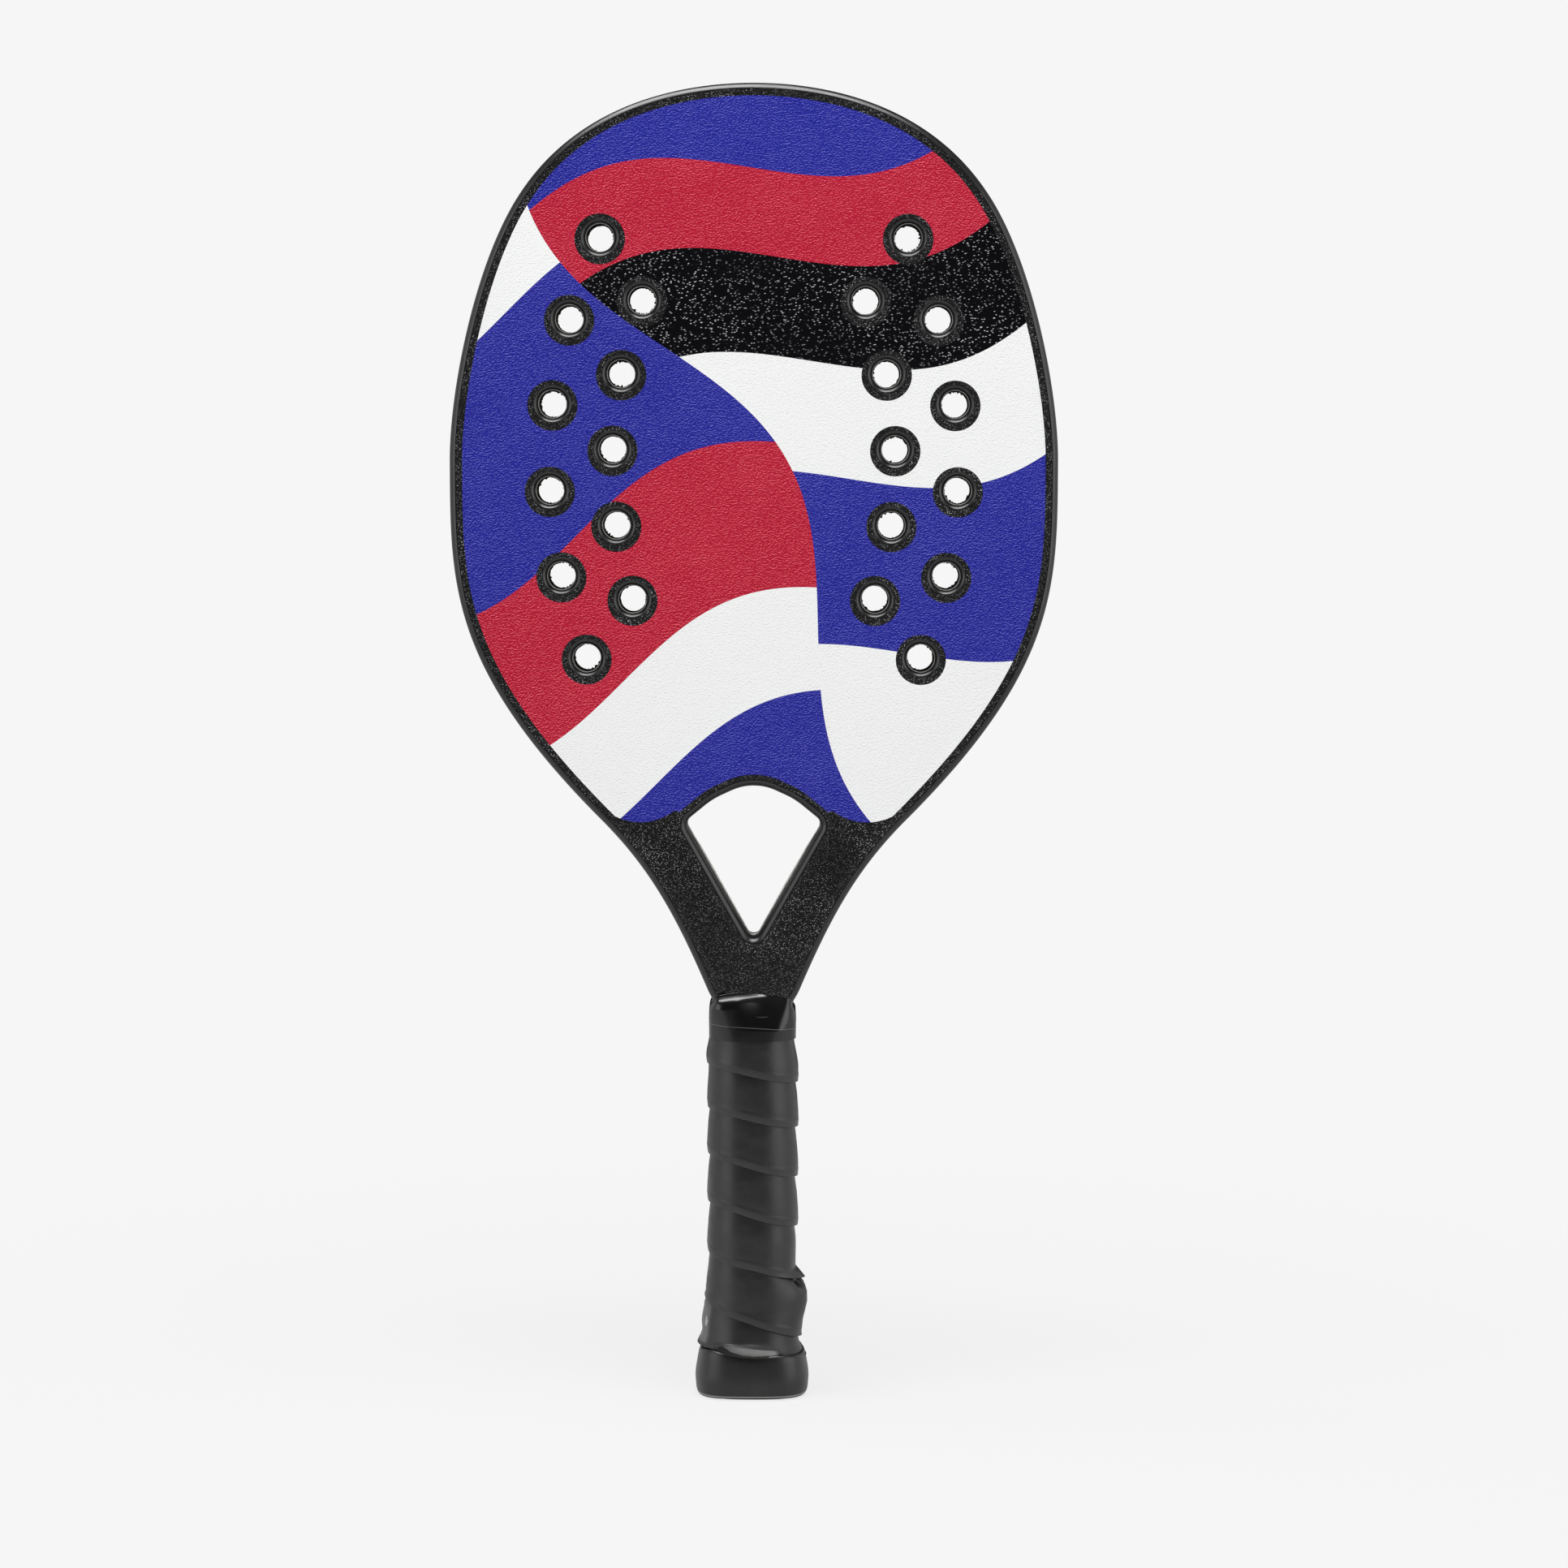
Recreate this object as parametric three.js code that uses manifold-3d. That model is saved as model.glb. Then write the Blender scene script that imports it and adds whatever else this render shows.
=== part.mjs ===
// A beach tennis racket, in millimetres. It stands on its butt. X runs across the face,
// Y through the thickness with the front face towards -Y, and Z up along the handle.

import * as THREE from "three";
import { mergeVertices } from "three/addons/utils/BufferGeometryUtils.js";
import Module from "manifold-3d";

const wasm = await Module();
wasm.setup();

// The whole racket
const neckHeight = 157; // where the two arms run into the grip
const headLength = 343; // from the neck to the crown
const headHalfWidth = 115;
const neckHalfWidth = 17.5;
const thickness = 20;
const edgeRadius = 2; // on every moulded edge of the frame

// Gaps between pieces
const clearance = 0.3;
const wrapGap = 0.15; // between the layers wound round the handle
const glueLine = 0.1; // between flat bonded faces
const overrun = 5; // how far a cut runs past what it cuts

// Outline of the head from the crown down the right side: cubic curves whose points are
// shares of headHalfWidth across and of headLength above the neck
const crownToShoulderShares = [[0, 1], [0.2, 1], [0.563, 0.984], [0.769, 0.878]];
const shoulderToSideShares = [[0.769, 0.878], [0.915, 0.804], [1, 0.663], [1, 0.588]];
const sideToWaistShares = [[1, 0.588], [1, 0.454], [1.011, 0.363], [0.514, 0.194]];
const waistPullShares = [0.349, 0.139];
const neckAngle = THREE.MathUtils.degToRad(67); // of the arm's edge above the horizontal
const neckPullShare = 0.095; // of headLength

// Frame: one moulded tube round the head whose two tails run side by side down the handle
const frameWidth = 12; // across the tube, seen from the front
const armWidth = 22.5; // where the arm passes the corner of the throat window
const frameWall = 1.6;
const webThickness = 3; // between the two tails
const tailHalfWidth = 11.2;
const tailDrop = 13; // from the neck down to where the tails run straight
const tailPull = 4.5;
const tailEnd = 3.3;
const hipShare = 0.42; // of headLength: below this the tube widens towards the arm
const crownSteps = 9;
const shoulderSteps = 6;
const waistSteps = 10;
const armSteps = 5;
const tailSteps = 4;
const edgeSteps = 2;

// Throat window: each corner's place as shares of headHalfWidth and headLength, then its
// rounding as a share of headHalfWidth
const windowApexShares = [0, 0.2353, 0.174];
const windowShoulderShares = [0.135, 0.2146, 0.261];
const windowCornerShares = [0.231, 0.1883, 0.035];
const windowFootShares = [0, 0.0516, 0.018];
const windowArcSteps = 3;

// Bridge over the window
const bridgeWidth = 12;
const bridgeApexShare = 0.174; // its rounding, of headHalfWidth

// Face sheets and the print's holes
const sheetThickness = 1;
const sheetInset = 2.5; // from the outline, and from the window
const sheetDrop = 3.4; // from the neck down to the sheets' ends, under the finishing tape
const holeRadius = 5.35;
const holeMouthRadius = 6.6;
const holeBoreRadius = 5; // through the core
const holeSides = 14;
const holeLevelShare = 0.5836; // of headLength: the level of both arcs' centres
const holeArcs = [
  { reachShare: 0.6713, radiusShare: 0.5749, count: 6 },
  { reachShare: 0.4643, radiusShare: 0.5055, count: 5 },
]; // each arc's furthest place across, of headHalfWidth, its radius, of headLength, and its holes
const holeStep = THREE.MathUtils.degToRad(9.45);
const holeTilt = THREE.MathUtils.degToRad(1.95); // turns both arcs upwards

// Handle foam: an octagon with rounded corners
const handleHalfWidth = 14.5;
const handleHalfDepth = 13;
const handleCornerRadius = 2.5;
const frontFacetShare = 0.55; // of handleHalfWidth
const sideFacetShare = 0.5; // of handleHalfDepth
const flareHeight = 34; // the handle widens below this
const flareGrow = 3;
const flareShares = [[0, 1], [0.35, 0.9], [0.7, 0.4], [1, 0]]; // of the height and the growth
const tapedDrop = 21; // from the neck down to the finishing tape's lower edge
const tapedEase = 9; // the handle draws in over this height below the tape
const tapedDraw = 0.7; // how much slimmer the handle is under the tape
const shoulderDrop = 11; // from the neck down to where the foam slopes down to the arms
const palletDrop = 4.4; // from the neck down to the foam's top
const palletLip = 0.6; // what is left of the foam's depth at its top
const palletGap = 0.3;
const tailCover = 1.2; // least foam round the tails, whose corners are cut back for it

// Grip strip: wound upwards, each turn over the upper edge of the one below
const gripFoot = 17;
const gripDrop = 9; // from the neck down to the strip's top
const gripWidth = 25;
const gripPitch = 18.8;
const gripMiddle = 1.8; // thickness in the middle of the strip
const gripLowerEdge = 0.8; // thickness of its skived lower edge
const gripUpperEdge = 0.6;
const gripLiftShare = 0.68; // of gripWidth: below this the strip stands off the handle
const gripFullShare = 0.48; // of gripWidth: where the strip is thickest
const gripSelfGap = 0.6;
const gripTapedShare = 0.55; // how thin the strip is pressed under the finishing tape
const gripTip = 2; // height of the cut end where the winding starts and stops
const gripStartStep = 4; // which of the 24 handle points the strip starts from
const turnSteps = 24;

// Start tape under the strip's first turn, finishing tape over its last
const startTapeHeight = 9;
const startTapeThickness = 0.3;
const finishTapeThickness = 0.4;
const finishTapeDrop = 2.6; // from the neck down to its top edge in the middle
const finishTapeSlant = 1; // its top edge climbs this much towards the left

// Butt cap and the plate that closes it
const capTop = 16.5;
const capHalfWidth = 22;
const capHalfDepth = 19;
const capFloor = 1.1; // thickness
const capFacetShare = 0.72;
const capCornerRadius = 7;
const capShares = [[0, 0.95], [0.08, 0.98], [0.3, 1], [0.61, 0.97], [0.91, 0.93], [1, 0.895]];
const plateThickness = 1.6;
const plateInset = 1.4;
const plugHalfWidth = 8;
const plugHalfDepth = 6;

const crown = neckHeight + headLength;
const tailTop = neckHeight - tailDrop;
const sheetEnd = neckHeight - sheetDrop;
const tapedLow = neckHeight - tapedDrop;
const shoulderLow = neckHeight - shoulderDrop;
const palletTop = neckHeight - palletDrop;
const gripTop = neckHeight - gripDrop;
const finishTapeTop = neckHeight - finishTapeDrop;
const half = thickness / 2;
const coreHalf = half - sheetThickness - glueLine;

// A point given as shares of the head's half width and length.
function headPoint([acrossShare, upShare]) {
  return new THREE.Vector2(acrossShare * headHalfWidth, neckHeight + upShare * headLength);
}

// A corner of the throat window as its point and its rounding.
function windowCorner(shares) {
  return [headPoint(shares), shares[2] * headHalfWidth];
}

function cubic(points, steps) {
  return new THREE.CubicBezierCurve(...points).getPoints(steps);
}

function polar(radius, angle) {
  return new THREE.Vector2(radius * Math.cos(angle), radius * Math.sin(angle));
}

// Right side of the racket's outline, from the crown to the end of the tail.
function outlineSide() {
  const neck = new THREE.Vector2(neckHalfWidth, neckHeight);
  const neckPull = polar(neckPullShare * headLength, neckAngle);
  const waist = headPoint(sideToWaistShares[3]);
  const tail = new THREE.Vector2(tailHalfWidth, tailTop);
  const arm = [waist, headPoint(waistPullShares), neck.clone().add(neckPull), neck];
  const tailCurve = [
    neck,
    neck.clone().sub(polar(tailPull, neckAngle)),
    tail.clone().add(new THREE.Vector2(0, tailPull)),
    tail,
  ];
  return [
    ...cubic(crownToShoulderShares.map(headPoint), crownSteps),
    ...cubic(shoulderToSideShares.map(headPoint), shoulderSteps).slice(1),
    ...cubic(sideToWaistShares.map(headPoint), waistSteps).slice(1),
    ...cubic(arm, armSteps).slice(1),
    ...cubic(tailCurve, tailSteps).slice(1),
    new THREE.Vector2(tailHalfWidth, tailEnd),
  ];
}

// Adds the mirrored left side to a right side that runs from top to bottom.
function mirrored(side) {
  const left = side.filter((point) => point.x > 0).reverse();
  return [...side, ...left.map((point) => new THREE.Vector2(-point.x, point.y))];
}

// Moves a closed outline inwards by a distance, or by what distanceAt gives at each point.
function inset(points, distanceAt) {
  const turn = THREE.ShapeUtils.isClockWise(points) ? -1 : 1;
  return points.map((point, i) => {
    const before = points[(i + points.length - 1) % points.length];
    const after = points[(i + 1) % points.length];
    const into = point.clone().sub(before).normalize();
    const out = after.clone().sub(point).normalize();
    const along = into.clone().add(out).normalize();
    const normal = new THREE.Vector2(-along.y, along.x).multiplyScalar(turn);
    const distance = typeof distanceAt === "number" ? distanceAt : distanceAt(point);
    return point.clone().addScaledVector(normal, distance / along.dot(out));
  });
}

// Rounds the corners of a closed polygon, each given as [point, radius].
function rounded(corners, steps) {
  return corners.flatMap(([corner, radius], i) => {
    const before = corners[(i + corners.length - 1) % corners.length][0];
    const after = corners[(i + 1) % corners.length][0];
    const back = before.clone().sub(corner).normalize();
    const ahead = after.clone().sub(corner).normalize();
    const halfAngle = Math.acos(back.dot(ahead)) / 2;
    const middle = back.clone().add(ahead).normalize();
    const centre = corner.clone().addScaledVector(middle, radius / Math.sin(halfAngle));
    const start = corner.clone().addScaledVector(back, radius / Math.tan(halfAngle)).sub(centre);
    const end = corner.clone().addScaledVector(ahead, radius / Math.tan(halfAngle)).sub(centre);
    const sweep = Math.atan2(start.cross(end), start.dot(end));
    return Array.from({ length: steps + 1 }, (_, k) => {
      return start.clone().rotateAround(new THREE.Vector2(), (sweep * k) / steps).add(centre);
    });
  });
}

// A closed geometry as a solid that can be cut and joined.
function solidOf(geometry) {
  const bare = geometry.index ? geometry.toNonIndexed() : geometry.clone();
  bare.deleteAttribute("normal");
  bare.deleteAttribute("uv");
  const merged = mergeVertices(bare);
  return new wasm.Manifold(
    new wasm.Mesh({
      numProp: 3,
      vertProperties: merged.attributes.position.array,
      triVerts: new Uint32Array(merged.index.array),
    }),
  );
}

function geometryOf(solid) {
  const mesh = solid.getMesh();
  const geometry = new THREE.BufferGeometry();
  geometry.setAttribute("position", new THREE.BufferAttribute(mesh.vertProperties, 3));
  geometry.setIndex(new THREE.BufferAttribute(mesh.triVerts, 1));
  const flat = geometry.toNonIndexed();
  flat.computeVertexNormals();
  return flat;
}

// A flat outline in X and Z, made solid between two values of Y.
function plate(points, low, high, edge = 0) {
  const geometry = new THREE.ExtrudeGeometry(new THREE.Shape(points), {
    depth: high - low - 2 * edge,
    bevelEnabled: edge > 0,
    bevelThickness: edge,
    bevelSize: edge,
    bevelOffset: -edge,
    bevelSegments: edgeSteps,
  });
  geometry.translate(0, 0, edge - high);
  geometry.rotateX(Math.PI / 2);
  return solidOf(geometry);
}

// Joins rings of equal count into a skin, with flat ends or closed on itself.
function skin(rings, closed) {
  const count = rings[0].length;
  const index = [];
  const last = closed ? rings.length : rings.length - 1;
  for (let i = 0; i < last; i++) {
    const next = (i + 1) % rings.length;
    for (let k = 0; k < count; k++) {
      const a = i * count + k;
      const b = i * count + ((k + 1) % count);
      const c = next * count + ((k + 1) % count);
      const d = next * count + k;
      index.push(a, b, c, a, c, d);
    }
  }
  if (!closed) {
    const fan = (start, flip) => {
      for (let k = 1; k < count - 1; k++) {
        index.push(start, start + k + (flip ? 1 : 0), start + k + (flip ? 0 : 1));
      }
    };
    fan(0, true);
    fan((rings.length - 1) * count, false);
  }
  const geometry = new THREE.BufferGeometry().setFromPoints(rings.flat());
  geometry.setIndex(index);
  return geometry;
}

const side = outlineSide();
const outline = mirrored(side);
const outlineHalfAt = (level) => {
  const i = side.findIndex((point, k) => k > 0 && point.y <= level);
  const upper = side[i - 1];
  const lower = side[i];
  return THREE.MathUtils.mapLinear(level, upper.y, lower.y, upper.x, lower.x);
};

// Throat window at the middle plane.
function windowOutline() {
  const apex = windowCorner(windowApexShares);
  const shoulder = windowCorner(windowShoulderShares);
  const corner = windowCorner(windowCornerShares);
  const foot = windowCorner(windowFootShares);
  const toLeft = ([point, radius]) => [new THREE.Vector2(-point.x, point.y), radius];
  return rounded([apex, shoulder, corner, foot, toLeft(corner), toLeft(shoulder)], windowArcSteps);
}

const windowPath = windowOutline();
const windowGrown = (distance) => inset(windowPath, -distance);
const windowBottom = Math.min(...windowPath.map((point) => point.y));

// What the window takes out, flared at both faces by the edge radius.
function windowCutter() {
  const slices = [{ y: half + overrun, grow: edgeRadius }];
  for (let i = edgeSteps; i >= 0; i--) {
    const angle = (Math.PI / 2) * (i / edgeSteps);
    slices.push({
      y: half - edgeRadius + edgeRadius * Math.sin(angle),
      grow: edgeRadius * (1 - Math.cos(angle)),
    });
  }
  const all = [...slices, ...slices.map(({ y, grow }) => ({ y: -y, grow })).reverse()];
  const rings = all.map(({ y, grow }) => {
    return windowGrown(grow).map((point) => new THREE.Vector3(point.x, y, point.y));
  });
  return solidOf(skin(rings.reverse(), false));
}

// The space inside the head that the core and the bridge fill.
function headOpening() {
  const hip = neckHeight + hipShare * headLength;
  const [corner, cornerRadius] = windowCorner(windowCornerShares);
  const widthAt = (point) => {
    const share = THREE.MathUtils.clamp((hip - point.y) / (hip - corner.y), 0, 1);
    return frameWidth + (armWidth - frameWidth) * share * share;
  };
  const inner = inset(outline, widthAt);
  const right = side.map((point, i) => inner[i]).filter((point) => {
    return point.y > corner.y + cornerRadius && point.x > -edgeRadius;
  });
  const toe = new THREE.Vector2(corner.x - cornerRadius / 2, corner.y - cornerRadius / 2);
  return mirrored([...right, toe]);
}

const opening = headOpening();

// Upper edge of the bridge, closed far below it.
function bridgeTop(lift) {
  const apex = headPoint(windowApexShares);
  const shoulder = headPoint(windowShoulderShares);
  const slope = (apex.y - shoulder.y) / (shoulder.x - apex.x);
  const rise = (bridgeWidth + lift) * Math.hypot(1, slope);
  const ridge = new THREE.Vector2(0, apex.y + rise);
  const endAt = (x) => new THREE.Vector2(x, ridge.y - slope * Math.abs(x));
  const foot = headPoint(windowFootShares).y;
  return rounded(
    [
      [ridge, bridgeApexShare * headHalfWidth],
      [endAt(headHalfWidth), edgeRadius],
      [new THREE.Vector2(headHalfWidth, foot - headHalfWidth), edgeRadius],
      [new THREE.Vector2(-headHalfWidth, foot - headHalfWidth), edgeRadius],
      [endAt(-headHalfWidth), edgeRadius],
    ],
    windowArcSteps,
  );
}

// The flat of the face inside the rim, down to a level on the neck, with the window out of it.
function faceArea(rim, lowEnd, low, high) {
  const inner = inset(outline, rim);
  const right = side.map((point, i) => inner[i]).filter((point) => point.y > lowEnd);
  right[0].x = 0;
  right.push(new THREE.Vector2(outlineHalfAt(lowEnd) - rim, lowEnd));
  return plate(mirrored(right), low, high).subtract(plate(windowGrown(rim), low, high));
}

// The shallow seat of one face sheet: a step cut into the frame and the bridge.
function sheetSeat(front) {
  const range = front ? [-half - overrun, -coreHalf] : [coreHalf, half + overrun];
  return faceArea(sheetInset - clearance, sheetEnd - clearance, ...range);
}

// Where the holes go, on both sides of the middle.
function holePlaces() {
  const level = neckHeight + holeLevelShare * headLength;
  return holeArcs.flatMap(({ reachShare, radiusShare, count }) => {
    const reach = reachShare * headHalfWidth;
    const radius = radiusShare * headLength;
    return Array.from({ length: count }, (_, i) => {
      const angle = holeTilt + ((count - 1) / 2 - i) * holeStep;
      const x = reach - radius + radius * Math.cos(angle);
      const z = level + radius * Math.sin(angle);
      return [new THREE.Vector2(x, z), new THREE.Vector2(-x, z)];
    }).flat();
  });
}

const holes = holePlaces();

// One round hole or countersink along Y, with its radius at the low and the high end.
function boring(place, lowRadius, highRadius, low, high) {
  const geometry = new THREE.CylinderGeometry(highRadius, lowRadius, high - low, holeSides);
  geometry.translate(place.x, (low + high) / 2, place.y);
  return solidOf(geometry);
}

function cutHoles(solid, lowRadius, highRadius, low, high) {
  const cutters = holes.map((place) => boring(place, lowRadius, highRadius, low, high));
  return solid.subtract(wasm.Manifold.union(cutters));
}

// The hollow inside the frame's tube, open at both tail ends.
function frameHollow() {
  const depth = coreHalf - frameWall;
  const walls = inset(outline, frameWall + edgeRadius / 2).map((point) => {
    const onTailEnd = point.y < (tailEnd + tailTop) / 2;
    return onTailEnd ? new THREE.Vector2(point.x, tailEnd - overrun) : point;
  });
  const web = [
    new THREE.Vector2(webThickness / 2, windowBottom),
    new THREE.Vector2(webThickness / 2, tailEnd - 2 * overrun),
    new THREE.Vector2(-webThickness / 2, tailEnd - 2 * overrun),
    new THREE.Vector2(-webThickness / 2, windowBottom),
  ];
  return plate(walls, -depth, depth)
    .subtract(plate(inset(opening, -frameWall), -half, half))
    .subtract(plate(windowGrown(frameWall), -half, half))
    .subtract(plate(web, -half, half));
}

const windowSpace = windowCutter();
const seats = sheetSeat(true).add(sheetSeat(false));

function allAbove(level) {
  const box = new THREE.BoxGeometry(4 * headHalfWidth, 4 * thickness, crown);
  box.translate(0, 0, level + crown / 2);
  return solidOf(box);
}

// The room that the tails have inside the handle foam, and everything above a level.
function tailRoom(out, freeAbove) {
  const levels = [tailEnd - overrun, ...foamLevels().slice(1, -1), palletTop + overrun];
  const rings = levels.map((level) => handleRing(level, out));
  return solidOf(skin(rings, false)).add(allAbove(freeAbove));
}

function makeFrame() {
  const blank = plate(outline, -half, half, edgeRadius).intersect(tailRoom(-tailCover, gripTop));
  return blank
    .subtract(plate(opening, -half - overrun, half + overrun))
    .subtract(windowSpace)
    .subtract(frameHollow())
    .subtract(seats);
}

function makeBridge() {
  const depth = coreHalf - frameWall;
  const fit = plate(inset(opening, clearance), -half, half);
  const lowerWall = windowGrown(frameWall);
  const hollow = plate(bridgeTop(-frameWall), -depth, depth).subtract(
    plate(lowerWall, -half, half),
  );
  const body = fit.intersect(plate(bridgeTop(0), -half, half)).subtract(windowSpace);
  const [corner, cornerRadius] = windowCorner(windowCornerShares);
  const level = corner.y + cornerRadius;
  const ends = new THREE.BoxGeometry(2 * headHalfWidth, thickness, crown - level);
  ends.translate(0, 0, (crown + level) / 2);
  return body.subtract(seats).subtract(hollow.intersect(solidOf(ends)));
}

function makeCore() {
  const fit = plate(inset(opening, clearance), -coreHalf + glueLine, coreHalf - glueLine);
  const body = fit.subtract(plate(bridgeTop(clearance), -half, half));
  return cutHoles(body, holeBoreRadius, holeBoreRadius, -half, half);
}

// One face sheet, with a countersink at each hole in place of its rolled lip.
function makeSheet(front) {
  const inner = half - sheetThickness;
  const range = front ? [-half, -inner] : [inner, half];
  const body = faceArea(sheetInset, sheetEnd, ...range);
  const slope = (holeMouthRadius - holeRadius) / sheetThickness;
  const wide = holeMouthRadius + slope * clearance;
  const narrow = holeRadius - slope * clearance;
  const cut = [range[0] - clearance, range[1] + clearance];
  return front ? cutHoles(body, wide, narrow, ...cut) : cutHoles(body, narrow, wide, ...cut);
}

// How much the handle has flared at a level.
function flareAt(level) {
  const up = Math.max(0, level / flareHeight);
  const k = flareShares.findIndex(([share]) => share > up);
  if (k < 0) return 0;
  const [low, lowGrow] = flareShares[k - 1];
  const [high, highGrow] = flareShares[k];
  return flareGrow * THREE.MathUtils.mapLinear(up, low, high, lowGrow, highGrow);
}

// Half the handle's width and half its depth at a level.
function handleHalves(level) {
  const flare = flareAt(level);
  const drawn = tapedDraw * THREE.MathUtils.smoothstep(level, tapedLow - tapedEase, tapedLow);
  const slopeShare = THREE.MathUtils.clamp((level - shoulderLow) / (palletTop - shoulderLow), 0, 1);
  const depthDrop = (handleHalfDepth - half - palletLip) * slopeShare;
  return [handleHalfWidth + flare - drawn, handleHalfDepth + flare - Math.max(drawn, depthDrop)];
}

// The 24 points of a rounded octagon, three to a corner, moved out by a distance. frontHalf
// and sideHalf are half the widths of its front and side facets.
function octagon(halfWidth, halfDepth, frontHalf, sideHalf, radius, out, levelAt) {
  const places = [
    [halfWidth, sideHalf],
    [frontHalf, halfDepth],
    [-frontHalf, halfDepth],
    [-halfWidth, sideHalf],
    [-halfWidth, -sideHalf],
    [-frontHalf, -halfDepth],
    [frontHalf, -halfDepth],
    [halfWidth, -sideHalf],
  ];
  const corners = places.map(([x, y]) => [new THREE.Vector2(x, y), radius]);
  const path = rounded(corners, 2);
  return inset(path, -out).map((point) => new THREE.Vector3(point.x, point.y, levelAt(point)));
}

function handleRing(level, out) {
  const [halfWidth, halfDepth] = handleHalves(level);
  const frontHalf = frontFacetShare * halfWidth;
  const sideHalf = sideFacetShare * halfDepth;
  return octagon(halfWidth, halfDepth, frontHalf, sideHalf, handleCornerRadius, out, () => level);
}

// The levels at which the handle's size changes.
function foamLevels() {
  const flareLevels = flareShares.map(([up]) => up * flareHeight).filter((z) => z > tailEnd);
  return [tailEnd, ...flareLevels, tapedLow - tapedEase, tapedLow, shoulderLow, palletTop];
}

// One half of the handle foam, moulded round the tails.
function makePallet(front) {
  const body = solidOf(skin(foamLevels().map((level) => handleRing(level, 0)), false));
  const neck = plate(inset(outline, -palletGap), -half - palletGap, half + palletGap);
  const room = neck.intersect(tailRoom(palletGap - tailCover, gripTop - palletGap));
  const face = front ? [-thickness - overrun, -palletGap / 2] : [palletGap / 2, thickness + overrun];
  const wide = capHalfWidth + overrun;
  const box = new THREE.BoxGeometry(2 * wide, face[1] - face[0], crown);
  box.translate(0, (face[0] + face[1]) / 2, crown / 2);
  return body.intersect(solidOf(box)).subtract(room);
}

// How thin the strip is pressed at a level, as a share of its own thickness.
function pressedShare(level) {
  const taped = THREE.MathUtils.smoothstep(level, tapedLow - tapedEase, tapedLow);
  return THREE.MathUtils.lerp(1, gripTapedShare, taped);
}

// Distance of the strip's outer face from the handle, at a place across its width.
function stripOuter(across, low) {
  const full = gripFullShare * gripWidth;
  const middle = gripMiddle * pressedShare(low);
  if (across > full) {
    const edge = gripUpperEdge * pressedShare(low);
    return THREE.MathUtils.mapLinear(across, full, gripWidth, middle, edge);
  }
  const edge = stripInner(0, low) + gripLowerEdge * pressedShare(low);
  return THREE.MathUtils.mapLinear(across, 0, full, edge, middle);
}

// The same for its inner face, which clears the upper edge of the turn below.
function stripInner(across, low) {
  const lift = gripLiftShare * gripWidth;
  const overlap = gripWidth - gripPitch;
  const below = low - gripPitch;
  const atEdge = gripSelfGap + stripOuter(gripPitch, below);
  const atTop = (gripSelfGap + stripOuter(gripWidth, below)) / (1 - overlap / lift);
  return Math.max(atEdge, atTop) * Math.max(0, 1 - across / lift);
}

// The grip strip, as one unbroken winding of six-sided sections.
function makeGrip() {
  const base = wrapGap + startTapeThickness + wrapGap;
  const ring = handleRing(neckHeight / 2, 0);
  const lengths = ring.map((point, i) => point.distanceTo(ring[(i + 1) % turnSteps]));
  const around = lengths.reduce((sum, length) => sum + length, 0);
  const sections = [];
  let low = gripFoot + gripTip - gripWidth;
  let step = gripStartStep;
  while (low < gripTop - gripTip) {
    const from = Math.max(0, gripFoot - low);
    const to = Math.min(gripWidth, gripTop - low);
    const within = (share) => {
      return THREE.MathUtils.clamp(share * gripWidth, from + gripTip / 4, to - gripTip / 4);
    };
    const lowEdge = low;
    const point = (face, across) => {
      return handleRing(lowEdge + across, base + face(across, lowEdge))[step];
    };
    sections.push([
      ...[from, within(gripFullShare), to].map((across) => point(stripOuter, across)),
      ...[to, within(gripLiftShare), from].map((across) => point(stripInner, across)),
    ]);
    const next = (step + turnSteps - 1) % turnSteps;
    low += gripPitch * (lengths[next] / around);
    step = next;
  }
  console.log("grip sections", sections.length, "turns", (sections.length / turnSteps).toFixed(2));
  console.log("grip least gap to itself", leastSelfGap(sections).toFixed(3), "mm");
  return skin(sections, false);
}

// Least distance between one turn's section and the next turn's, on points along their edges.
function leastSelfGap(sections) {
  const fine = 6;
  const spread = (section) => section.flatMap((point, i) => {
    const after = section[(i + 1) % section.length];
    return Array.from({ length: fine }, (_, k) => point.clone().lerp(after, k / fine));
  });
  let least = Infinity;
  for (let i = 0; i + turnSteps < sections.length; i++) {
    const lower = spread(sections[i]);
    for (const point of spread(sections[i + turnSteps])) {
      for (const other of lower) least = Math.min(least, point.distanceTo(other));
    }
  }
  return least;
}

// A thin closed band from an inner and an outer stack of rings, both from the bottom up.
function band(outer, inner) {
  return skin([...outer, ...inner.reverse()], true);
}

function makeStartTape() {
  const levels = [gripFoot, gripFoot + startTapeHeight / 2, gripFoot + startTapeHeight];
  const ringsAt = (out) => levels.map((level) => handleRing(level, out));
  return band(ringsAt(wrapGap + startTapeThickness), ringsAt(wrapGap));
}

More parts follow.
